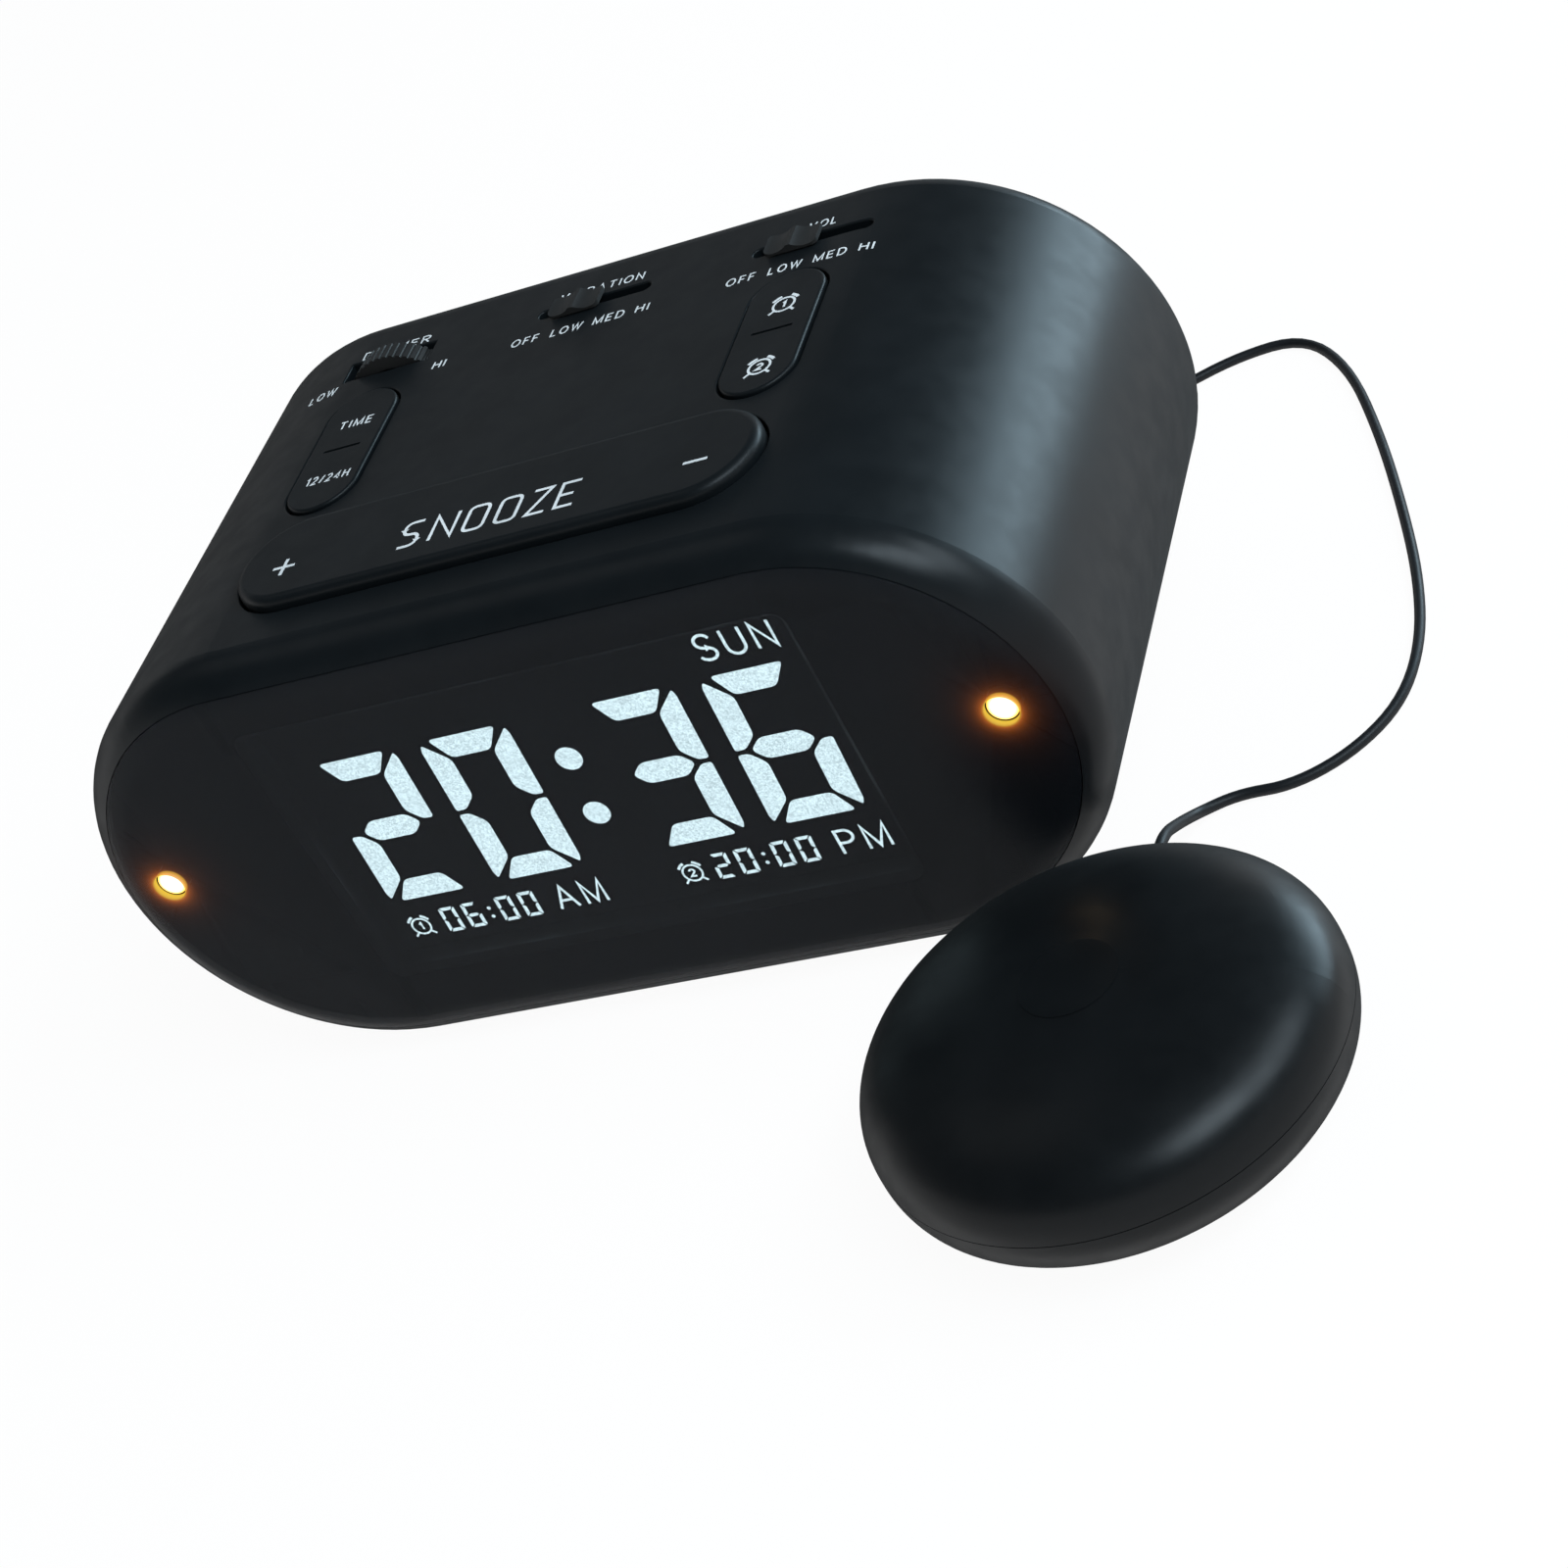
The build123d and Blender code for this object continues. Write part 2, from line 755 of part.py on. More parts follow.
def signal_leds_part():
    """Two round lamps on the main board, their domes just behind the light pipes."""
    tip = front_y + light_recess + light_pipe_length + led_gap
    with BuildPart() as leds:
        with BuildSketch(front_plane(board_y)):
            with Locations(*lights):
                Circle(led_radius)
        extrude(amount=board_y - tip)
        fillet(leds.faces().filter_by(Plane.XZ).group_by(Axis.Y)[0].edges(), led_radius - light_pipe_edge)
        with BuildSketch(front_plane(board_y)):
            with Locations(*lights):
                Circle(led_flange_radius)
        extrude(amount=led_flange_thickness)
    return leds.part


save(light_pipes_part(), "light_pipes")
save(signal_leds_part(), "signal_leds")

# Key board, level under the top, with holes for the carrier stems and the dimmer wheel
carrier_stems = [(sx * carrier_stem_x, snooze_y) for sx in (-1, 1)]
with BuildPart() as key_board:
    with BuildSketch(Plane.XY.offset(key_board_z - board_thickness)):
        with Locations((0, (key_board_front + key_board_back) / 2)):
            Rectangle(key_board_width, key_board_back - key_board_front)
        with Locations(*key_posts):
            Circle(screw_shank_radius + part_gap, mode=Mode.SUBTRACT)
        with Locations(*carrier_stems):
            Circle(carrier_stem_radius + guide_clearance, mode=Mode.SUBTRACT)
        with Locations((dimmer_x, dimmer_y)):
            Rectangle(dimmer_slot_length, dimmer_slot_width, mode=Mode.SUBTRACT)
    extrude(amount=board_thickness)
save(key_board.part, "key_board")

# Tact switches: three under the snooze key and two under each rocker
tact_places = [(x, snooze_y) for x in (-snooze_switch_x, 0, snooze_switch_x)]
tact_places += [
    (x, y + side * rocker_switch_offset) for x, y in rocker_places for side in (-1, 1)
]
with BuildPart() as tact_switches:
    with BuildSketch(Plane.XY.offset(key_board_z)):
        with Locations(*tact_places):
            Rectangle(tact_width, tact_width)
    extrude(amount=tact_body_height)
    with BuildSketch(Plane.XY.offset(key_board_z + tact_body_height)):
        with Locations(*tact_places):
            Circle(tact_button_radius)
    extrude(amount=tact_height - tact_body_height)
save(tact_switches.part, "tact_switches")

# Snooze carrier: plate with two guide stems and two lugs for the key's pin
snooze_pin_z = roof_z - pin_drop
carrier_z = switch_z + snooze_travel + switch_gap
carrier_top_z = carrier_z + carrier_thickness
carrier_lug_y = key_lug_length / 2 + part_gap + carrier_lug_thickness / 2
carrier_lug_top = snooze_pin_z + pin_radius + pin_cover
with BuildPart() as snooze_carrier:
    with BuildSketch(Plane.XY.offset(carrier_z)):
        with Locations((0, snooze_y)):
            SlotOverall(carrier_length, carrier_width)
    extrude(amount=carrier_thickness)
    with BuildSketch(Plane.XY.offset(carrier_z + carrier_thickness / 2)):
        with Locations(*carrier_stems):
            Circle(carrier_stem_radius)
    extrude(amount=-(carrier_stem_length + carrier_thickness / 2))
    with BuildSketch(Plane.XY.offset(carrier_z + carrier_thickness / 2)):
        with Locations((0, snooze_y - carrier_lug_y), (0, snooze_y + carrier_lug_y)):
            Rectangle(carrier_lug_width, carrier_lug_thickness)
    extrude(amount=carrier_lug_top - carrier_z - carrier_thickness / 2)
    with BuildSketch(front_plane(snooze_y)):
        with Locations((0, snooze_pin_z)):
            Circle(pin_radius + running_clearance / 2)
    extrude(amount=carrier_lug_y + carrier_lug_thickness, both=True, mode=Mode.SUBTRACT)
save(snooze_carrier.part, "snooze_carrier")

with BuildPart() as snooze_pin:
    with BuildSketch(front_plane(snooze_y)):
        with Locations((0, snooze_pin_z)):
            Circle(pin_radius)
    extrude(amount=carrier_lug_y + carrier_lug_thickness / 2, both=True)
save(snooze_pin.part, "snooze_pin")

# Snooze key with its pivot lug and two feet over the + and - switches
tilt_drop = snooze_switch_x * sin(radians(snooze_tilt))
snooze_foot_z = switch_z + snooze_travel + tilt_drop + switch_gap
snooze_under_z = top_z + snooze_raise - snooze_thickness
with BuildPart() as snooze_bar:
    with BuildSketch(Plane.XY.offset(snooze_under_z)):
        with Locations((0, snooze_y)):
            SlotOverall(snooze_length, snooze_width)
    extrude(amount=snooze_thickness)
    fillet(snooze_bar.faces().sort_by(Axis.Z)[-1].edges(), radius=snooze_edge_radius)
    with BuildSketch(Plane.XY.offset(snooze_under_z + snooze_thickness / 2)):
        with Locations((0, snooze_y)):
            Rectangle(key_lug_width, key_lug_length)
    extrude(amount=-(snooze_under_z + snooze_thickness / 2 - carrier_top_z - part_gap))
    with BuildSketch(Plane.XY.offset(snooze_foot_z)):
        with Locations((-snooze_switch_x, snooze_y), (snooze_switch_x, snooze_y)):
            Rectangle(key_foot_width, key_foot_width)
    extrude(amount=snooze_under_z + snooze_thickness / 2 - snooze_foot_z)
    with BuildSketch(front_plane(snooze_y)):
        with Locations((0, snooze_pin_z)):
            Circle(pin_radius + running_clearance)
    extrude(amount=key_lug_length, both=True, mode=Mode.SUBTRACT)
save(snooze_bar.part, "snooze_bar")


def rocker(place_x, place_y):
    """A rocker key with a centre groove, a pivot lug and two feet over its switches."""
    under_z = top_z + rocker_raise - rocker_thickness
    foot_z = switch_z + rocker_switch_offset * sin(radians(rocker_tilt)) + switch_gap
    lug_z = rocker_pin_z - pin_radius - pin_cover
    with BuildPart() as key:
        with BuildSketch(Plane.XY.offset(under_z)):
            with Locations((place_x, place_y)):
                SlotOverall(rocker_length, rocker_width, rotation=90)
        extrude(amount=rocker_thickness)
        fillet(key.faces().sort_by(Axis.Z)[-1].edges(), radius=rocker_edge_radius)
        with BuildSketch(Plane.XY.offset(under_z + rocker_thickness + overrun)):
            with Locations((place_x, place_y)):
                SlotOverall(rocker_groove_length, rocker_groove_width)
        extrude(amount=-(rocker_groove_depth + overrun), mode=Mode.SUBTRACT)
        with BuildSketch(Plane.XY.offset(lug_z)):
            with Locations((place_x, place_y)):
                Rectangle(rocker_lug_width, rocker_ear_width)
        extrude(amount=under_z + rocker_thickness / 2 - lug_z)
        with BuildSketch(Plane.XY.offset(foot_z)):
            for side in (-1, 1):
                with Locations((place_x, place_y + side * rocker_switch_offset)):
                    Rectangle(key_foot_width, key_foot_width)
        extrude(amount=under_z + rocker_thickness / 2 - foot_z)
        with BuildSketch(Plane.YZ.offset(place_x)):
            with Locations((place_y, rocker_pin_z)):
                Circle(pin_radius + running_clearance)
        extrude(amount=rocker_lug_width, both=True, mode=Mode.SUBTRACT)
    return key.part


save(rocker(*rocker_places[0]), "time_rocker")
save(rocker(*rocker_places[1]), "alarm_rocker")

with BuildPart() as rocker_pins:
    for place_x, place_y in rocker_places:
        with BuildSketch(Plane.YZ.offset(place_x)):
            with Locations((place_y, rocker_pin_z)):
                Circle(pin_radius)
        extrude(amount=rocker_ear_x + rocker_ear_thickness / 2, both=True)
save(rocker_pins.part, "rocker_pins")

# Dimmer wheel: knurled rim, dished web and an axle that runs in the potentiometer
with BuildPart() as dimmer_wheel:
    with BuildSketch(front_plane(dimmer_y)):
        with Locations((dimmer_x, dimmer_z)):
            Circle(dimmer_radius)
            with PolarLocations(dimmer_radius, dimmer_knurls):
                Circle(dimmer_knurl_radius, mode=Mode.SUBTRACT)
    extrude(amount=dimmer_thickness / 2, both=True)
    with BuildSketch(front_plane(dimmer_y - dimmer_thickness / 2 + dimmer_web_depth)):
        with Locations((dimmer_x, dimmer_z)):
            Circle(dimmer_web_radius)
            Circle(2 * dimmer_axle_radius, mode=Mode.SUBTRACT)
    extrude(amount=dimmer_web_depth + overrun, mode=Mode.SUBTRACT)
    with BuildSketch(front_plane(dimmer_y)):
        with Locations((dimmer_x, dimmer_z)):
            Circle(dimmer_axle_radius)
    extrude(amount=-(dimmer_thickness / 2 + pot_gap + pot_depth - pot_floor - axle_end_gap))
save(dimmer_wheel.part, "dimmer_wheel")

with BuildPart() as dimmer_pot:
    pot_y = dimmer_y + dimmer_thickness / 2 + pot_gap
    pot_top_z = dimmer_z + pot_head
    with BuildSketch(front_plane(pot_y + pot_depth)):
        with Locations((dimmer_x, (key_board_z + pot_top_z) / 2)):
            RectangleRounded(pot_width, pot_top_z - key_board_z, display_corner)
    extrude(amount=pot_depth)
    with BuildSketch(front_plane(pot_y - overrun)):
        with Locations((dimmer_x, dimmer_z)):
            Circle(dimmer_axle_radius + running_clearance)
    extrude(amount=-(pot_depth - pot_floor + overrun), mode=Mode.SUBTRACT)
save(dimmer_pot.part, "dimmer_pot")

# Slide switches on the key board, open along the top for the knob stems
with BuildPart() as slide_switches:
    with BuildSketch(Plane.XY.offset(key_board_z)):
        with Locations(*slider_places):
            Rectangle(slider_slot_length + 2 * slide_switch_margin, slide_switch_width)
    extrude(amount=slide_switch_height)
    with BuildSketch(Plane.XY.offset(key_board_z + slide_switch_floor)):
        with Locations(*slider_places):
            SlotOverall(slider_slot_length, slider_slot_width)
    extrude(amount=slide_switch_height, mode=Mode.SUBTRACT)
save(slide_switches.part, "slide_switches")


def slider_knob(slot_x):
    """A knob at its second position: two scoops either side of a finger ridge, on a stem."""
    x = slot_x - slider_step / 2
    half = knob_length / 2
    ridge = knob_ridge_width / 2
    low_z = top_z + part_gap
    end_z = top_z + knob_end_height
    dip_z = top_z + knob_scoop_height
    ridge_z = top_z + knob_ridge_height
    stem_z = key_board_z + slide_switch_floor + part_gap
    with BuildPart() as knob:
        with BuildSketch(front_plane(slider_y)):
            with BuildLine():
                Polyline((x - half, end_z), (x - half, low_z), (x + half, low_z), (x + half, end_z))
                ThreePointArc(
                    (x + half, end_z), (x + (half + ridge) / 2, dip_z), (x + ridge, ridge_z)
                )
                Line((x + ridge, ridge_z), (x - ridge, ridge_z))
                ThreePointArc(
                    (x - ridge, ridge_z), (x - (half + ridge) / 2, dip_z), (x - half, end_z)
                )
            make_face()
        extrude(amount=knob_width / 2, both=True)
        fillet(knob.edges().filter_by(Axis.Z), radius=knob_corner_radius)
        with BuildSketch(Plane.XY.offset(low_z)):
            with Locations((x, slider_y)):
                SlotOverall(knob_stem_length, knob_stem_width)
        extrude(amount=stem_z - low_z)
    return knob.part


save(slider_knob(vibration_x), "vibration_knob")
save(slider_knob(volume_x), "volume_knob")

# Speaker: square flange on the cover, basket, magnet and cone
flange_y = cover_y - speaker_flange_thickness
with BuildPart() as speaker_basket:
    with BuildSketch(front_plane(cover_y)):
        with Locations((speaker_x, mid_z)):
            RectangleRounded(speaker_flange, speaker_flange, speaker_flange_corner)
        with Locations(*speaker_screws_at):
            Circle(screw_shank_radius + seat_gap, mode=Mode.SUBTRACT)
    extrude(amount=speaker_flange_thickness)
    with BuildSketch(front_plane(flange_y)):
        with Locations((speaker_x, mid_z)):
            Circle(speaker_cone_radius + speaker_basket_wall)
    with BuildSketch(front_plane(flange_y - speaker_basket_depth)):
        with Locations((speaker_x, mid_z)):
            Circle(speaker_throat_radius + speaker_basket_wall)
    loft()
    with BuildSketch(front_plane(cover_y)):
        with Locations((speaker_x, mid_z)):
            Circle(speaker_cone_radius)
    extrude(amount=speaker_flange_thickness, mode=Mode.SUBTRACT)
    with BuildSketch(front_plane(flange_y)):
        with Locations((speaker_x, mid_z)):
            Circle(speaker_cone_radius)
    with BuildSketch(front_plane(flange_y - speaker_basket_depth + speaker_basket_wall)):
        with Locations((speaker_x, mid_z)):
            Circle(speaker_throat_radius)
    loft(mode=Mode.SUBTRACT)
    with BuildSketch(front_plane(flange_y - speaker_basket_depth)):
        with Locations((speaker_x, mid_z)):
            Circle(speaker_magnet_radius)
    extrude(amount=speaker_magnet_depth)
save(speaker_basket.part, "speaker_basket")

cone_y = flange_y + part_gap / 2
throat_y = flange_y - speaker_basket_depth + speaker_basket_wall + part_gap
with BuildPart() as speaker_cone:
    with BuildSketch(Plane.XY):
        with BuildLine():
            rim = (speaker_cone_radius - part_gap, cone_y)
            throat = (speaker_dust_cap_radius, throat_y)
            Line(rim, throat)
            Line(throat, (0, throat_y))
            Line((0, throat_y), (0, throat_y + speaker_cone_thickness))
            Line((0, throat_y + speaker_cone_thickness), (throat[0], throat_y + speaker_cone_thickness))
            Line((throat[0], throat_y + speaker_cone_thickness), (rim[0], cone_y + speaker_cone_thickness))
            Line((rim[0], cone_y + speaker_cone_thickness), rim)
        make_face()
    revolve(axis=Axis.Y)
save(speaker_cone.part.moved(Location((speaker_x, 0, mid_z))), "speaker_cone")

# Socket board with the power inlet and the pad's jack
with BuildPart() as socket_board:
    with BuildSketch(Plane.XY.offset(jack_board_z - board_thickness)):
        with Locations(
            ((jack_board_left + jack_board_right) / 2, (jack_board_front + jack_board_back) / 2)
        ):
            Rectangle(jack_board_right - jack_board_left, jack_board_back - jack_board_front)
        with Locations(*jack_posts):
            Circle(screw_shank_radius + part_gap, mode=Mode.SUBTRACT)
    extrude(amount=board_thickness)
save(socket_board.part, "socket_board")


def socket(x, width, depth, nose_radius, bore_radius, bore_depth):
    """A block on the socket board with a round nose through the cover and a blind bore."""
    with BuildPart() as body:
        with BuildSketch(front_plane(cover_y - seat_gap)):
            with Locations((x, socket_z)):
                Rectangle(width, 2 * jack_board_drop)
        extrude(amount=depth)
        with BuildSketch(front_plane(cover_y - seat_gap - overrun)):
            with Locations((x, socket_z)):
                Circle(nose_radius)
        extrude(amount=-(cover_thickness + overrun))
        with BuildSketch(front_plane(back_y + overrun)):
            with Locations((x, socket_z)):
                Circle(bore_radius)
        extrude(amount=bore_depth + seat_gap + overrun, mode=Mode.SUBTRACT)
    return body.part


with BuildPart() as dc_socket:
    add(
        socket(dc_x, dc_body_width, dc_body_depth, dc_nose_radius, dc_bore_radius, dc_bore_depth)
    )
    with BuildSketch(front_plane(back_y - dc_bore_depth - overrun)):
        with Locations((dc_x, socket_z)):
            Circle(dc_pin_radius)
    extrude(amount=-dc_bore_depth)
save(dc_socket.part, "dc_socket")
plug_bore_radius = plug_pin_radius + running_clearance
save(
    socket(
        shaker_jack_x,
        jack_body_width,
        jack_body_depth,
        jack_nose_radius,
        plug_bore_radius,
        plug_pin_length + part_gap,
    ),
    "shaker_jack",
)

# Backup cell, its contacts, its door and the door's screw
with BuildPart() as coin_cell:
    with BuildSketch(Plane.XY.offset(door_z + spring_height)):
        with Locations((cell_x, cell_y)):
            Circle(cell_radius)
    extrude(amount=cell_thickness)
    chamfer(coin_cell.faces().sort_by(Axis.Z)[0].edges(), length=contact_thickness)
save(coin_cell.part, "coin_cell")

with BuildPart() as upper_contact:
    with BuildSketch(Plane.XY.offset(well_top_z - contact_thickness)):
        with Locations((cell_x, cell_y)):
            Circle(contact_radius)
    extrude(amount=contact_thickness)
with BuildPart() as lower_contact:
    with BuildSketch(front_plane(cell_y)):
        with BuildLine() as arch:
            ThreePointArc(
                (cell_x - spring_span / 2, door_z + spring_thickness / 2),
                (cell_x, door_z + spring_height - spring_thickness / 2),
                (cell_x + spring_span / 2, door_z + spring_thickness / 2),
            )
            offset(amount=spring_thickness / 2, side=Side.BOTH, closed=True)
        make_face()
    extrude(amount=spring_width / 2, both=True)
save(Compound(children=[upper_contact.part, lower_contact.part]), "cell_contacts")

with BuildPart() as battery_door:
    with BuildSketch(Plane.XY.offset(base_z)):
        with Locations((door_x, cell_y)):
            RectangleRounded(door_length, door_width, door_corner)
    extrude(amount=door_thickness)
    with BuildSketch(Plane.XY.offset(base_z - overrun)):
        with Locations((door_screw_x, cell_y)):
            Circle(screw_shank_radius + seat_gap)
    extrude(amount=door_thickness + 2 * overrun, mode=Mode.SUBTRACT)
    with BuildSketch(Plane.XY.offset(base_z - overrun)):
        with Locations((door_screw_x, cell_y)):
            Circle(door_screw_head_radius + seat_gap)
    extrude(amount=door_screw_head_height + overrun, mode=Mode.SUBTRACT)
save(battery_door.part, "battery_door")
door_screw_plane = Plane(
    origin=(door_screw_x, cell_y, base_z + door_screw_head_height),
    x_dir=(1, 0, 0),
    z_dir=(0, 0, -1),
)
save(
    screw(
        door_screw_plane,
        screw_length - door_screw_head_height,
        door_screw_head_radius,
        door_screw_head_height,
    ),
    "battery_door_screw",
)

# Rubber ring that the clock stands on
with BuildPart() as foot_ring:
    with BuildSketch(Plane.XY):
        RectangleRounded(
            foot_ring_length - 2 * seat_gap,
            foot_ring_width - 2 * seat_gap,
            foot_ring_corner - seat_gap,
        )
        RectangleRounded(
            foot_ring_length - 2 * foot_ring_band + 2 * seat_gap,
            foot_ring_width - 2 * foot_ring_band + 2 * seat_gap,
            foot_ring_corner - foot_ring_band + seat_gap,
            mode=Mode.SUBTRACT,
        )
    extrude(amount=base_z + foot_ring_seat)
save(foot_ring.part, "foot_ring")


def ribbon(points, width, x, bend=None):
    """A flat cable across X that follows points in the YZ plane, straight or with a bend."""
    with BuildPart() as cable:
        with BuildSketch(Plane.YZ.offset(x)):
            with BuildLine():
                if bend is None:
                    Line(*points)
                else:
                    FilletPolyline(*points, radius=bend)
                offset(amount=ribbon_thickness / 2, side=Side.BOTH, closed=True, kind=Kind.INTERSECTION)
            make_face()
        extrude(amount=width / 2, both=True)
    return cable.part


half_ribbon = ribbon_thickness / 2
key_ribbon_z = key_board_z - key_ribbon_drop
key_ribbon_y = board_back_y + key_ribbon_reach
key_ribbon_points = [
    (board_back_y + half_ribbon, key_ribbon_z),
    (key_ribbon_y, key_ribbon_z),
    (key_ribbon_y, key_board_z - board_thickness - half_ribbon),
]
save(ribbon(key_ribbon_points, key_ribbon_width, 0, ribbon_bend), "key_ribbon")
jack_ribbon_y = jack_board_front + jack_ribbon_reach
jack_ribbon_z = jack_board_z + jack_ribbon_rise
jack_ribbon_points = [
    (board_back_y + half_ribbon, jack_ribbon_z),
    (jack_ribbon_y, jack_ribbon_z),
    (jack_ribbon_y, jack_board_z + half_ribbon),
]
jack_ribbon_x = dc_x - jack_ribbon_offset
save(ribbon(jack_ribbon_points, jack_ribbon_width, jack_ribbon_x, ribbon_bend), "socket_ribbon")
speaker_lead_z = mid_z - speaker_lead_drop
speaker_lead_points = [
    (board_back_y + half_ribbon, speaker_lead_z),
    (flange_y - half_ribbon, speaker_lead_z),
]
speaker_lead_x = speaker_x - speaker_lead_offset
save(ribbon(speaker_lead_points, speaker_lead_width, speaker_lead_x), "speaker_lead")

# Vibrating pad
pad_mid_z = pad_height / 2
pad_place = Location((pad_x, pad_y, 0))


def pad_form(inset, sink):
    """Solid of the pad's rounded profile; the lower half is deeper by sink and cut flat."""
    outer_radius = pad_radius - inset
    angles = [pi / 2 * k / (pad_points - 1) for k in range(pad_points)]
    shares = [(cos(a) ** (2 / pad_power), sin(a) ** (2 / pad_power)) for a in angles[1:-1]]
    upper = pad_height / 2 - inset
    lower = pad_height / 2 + sink - inset
    with BuildPart() as form:
        with BuildSketch(Plane.XZ):
            with BuildLine():
                Spline(
                    (outer_radius, pad_mid_z),
                    *[(outer_radius * u, pad_mid_z + upper * v) for u, v in shares],
                    (0, pad_mid_z + upper),
                    tangents=[(0, 1), (-1, 0)],
                )
                Line((0, pad_mid_z + upper), (0, pad_mid_z - lower))
                Spline(
                    (0, pad_mid_z - lower),
                    *[(outer_radius * u, pad_mid_z - lower * v) for u, v in reversed(shares)],
                    (outer_radius, pad_mid_z),
                    tangents=[(1, 0), (0, 1)],
                )
            make_face()
        revolve(axis=Axis.Z)
    return form.part


def pad_slice(form, low, high):
    """The part of a pad form between two heights."""
    with BuildPart() as piece:
        add(form)
        with BuildSketch(Plane.XY.offset(low)):
            Circle(pad_radius + overrun)
        extrude(amount=high - low, mode=Mode.INTERSECT)
    return piece.part


pad_outer = pad_form(0, pad_sink)
pad_inner = pad_form(pad_wall, pad_sink)
pad_boss_angles = [radians(pad_boss_start + 360 * k / pad_boss_count) for k in range(pad_boss_count)]
pad_bosses = [(pad_boss_circle * cos(a), pad_boss_circle * sin(a)) for a in pad_boss_angles]
screw_head_z = pad_screw_recess + screw_head_height


def pad_shell(low, high, inner_low, inner_high, gland_hole, screw_seat):
    """One half of the pad: an outer slice, hollowed, with screw bosses and pilot holes."""
    outer = pad_slice(pad_outer, low, high)
    hollow = pad_slice(pad_inner, inner_low, inner_high)
    with BuildPart() as shell:
        add(outer)
        add(hollow, mode=Mode.SUBTRACT)
        with BuildSketch(Plane.XY.offset(pad_mid_z)):
            with Locations(*pad_bosses):
                Circle(pad_boss_radius)
        extrude(amount=(high - pad_mid_z) + (low - pad_mid_z))
        add(outer, mode=Mode.INTERSECT)
        with BuildSketch(Plane.XY.offset(low - overrun)):
            with Locations(*pad_bosses):
                Circle(screw_shank_radius)
        extrude(amount=screw_head_z + pad_screw_length - low + overrun, mode=Mode.SUBTRACT)
        if screw_seat:
            with BuildSketch(Plane.XY.offset(low - overrun)):
                with Locations(*pad_bosses):
                    Circle(screw_head_radius + seat_gap)
            extrude(amount=screw_head_z + overrun, mode=Mode.SUBTRACT)
        if gland_hole:
            with BuildSketch(front_plane(0)):
                with Locations((0, gland_z)):
                    Circle(gland_base_radius + seat_gap)
            extrude(amount=-(pad_radius + overrun), mode=Mode.SUBTRACT)
    return shell.part


save(
    pad_shell(0, pad_mid_z - seat_gap / 2, pad_inner_flat, pad_mid_z, True, True).moved(pad_place),
    "shaker_bottom_shell",
)
save(
    pad_shell(
        pad_mid_z + seat_gap / 2,
        pad_height + overrun,
        pad_mid_z,
        pad_height - pad_inner_flat,
        False,
        False,
    ).moved(pad_place),
    "shaker_top_shell",
)
save(
    Compound(
        children=[
            screw(
                Plane(origin=(x, y, screw_head_z), x_dir=(1, 0, 0), z_dir=(0, 0, -1)),
                pad_screw_length,
            ).moved(pad_place)
            for x, y in pad_bosses
        ]
    ),
    "shaker_screws",
)

motor_face = motor_back + motor_length
with BuildPart() as shaker_motor:
    with BuildSketch(Plane.YZ.offset(motor_back)):
        with Locations((0, pad_mid_z)):
            Circle(motor_radius)
    extrude(amount=motor_length)
    fillet(shaker_motor.faces().filter_by(Plane.YZ).edges(), radius=motor_edge_radius)
    with BuildSketch(Plane.YZ.offset(motor_face - overrun)):
        with Locations((0, pad_mid_z)):
            Circle(motor_boss_radius)
    extrude(amount=motor_boss_length + overrun)
    with BuildSketch(Plane.YZ.offset(motor_face + motor_boss_length + overrun)):
        with Locations((0, pad_mid_z)):
            Circle(shaft_radius + running_clearance)
    extrude(amount=-(shaft_inside + motor_boss_length + 2 * overrun), mode=Mode.SUBTRACT)
save(shaker_motor.part.moved(pad_place), "shaker_motor")

with BuildPart() as motor_shaft:
    with BuildSketch(Plane.YZ.offset(motor_face - shaft_inside)):
        with Locations((0, pad_mid_z)):
            Circle(shaft_radius)
    extrude(amount=shaft_reach - motor_face + shaft_inside)
save(motor_shaft.part.moved(pad_place), "motor_shaft")

with BuildPart() as eccentric_weight:
    weight_face = shaft_reach - weight_thickness - weight_end_gap
    with BuildSketch(Plane.YZ.offset(weight_face)):
        with Locations((0, pad_mid_z)):
            Circle(weight_radius)
        with Locations((0, pad_mid_z + weight_radius / 2)):
            Rectangle(2 * weight_radius, weight_radius, mode=Mode.SUBTRACT)
        with Locations((0, pad_mid_z)):
            Circle(weight_hub_radius)
            Circle(shaft_radius, mode=Mode.SUBTRACT)
    extrude(amount=weight_thickness)
save(eccentric_weight.part.moved(pad_place), "eccentric_weight")


def cradle(low, high):
    """A foam block between two heights, hollowed to the motor's side."""
    with BuildPart() as block:
        with BuildSketch(Plane.XY.offset(low)):
            with Locations((motor_back + motor_length / 2, 0)):
                RectangleRounded(cradle_length, cradle_width, display_corner)
        extrude(amount=high - low)
        with BuildSketch(Plane.YZ.offset(motor_back)):
            with Locations((0, pad_mid_z)):
                Circle(motor_radius)
        extrude(amount=motor_length, mode=Mode.SUBTRACT)
    return block.part


save(
    Compound(
        children=[
            cradle(pad_inner_flat, pad_inner_flat + cradle_rise).moved(pad_place),
            cradle(
                pad_height - pad_inner_flat - cradle_rise, pad_height - pad_inner_flat
            ).moved(pad_place),
        ]
    ),
    "motor_cradles",
)

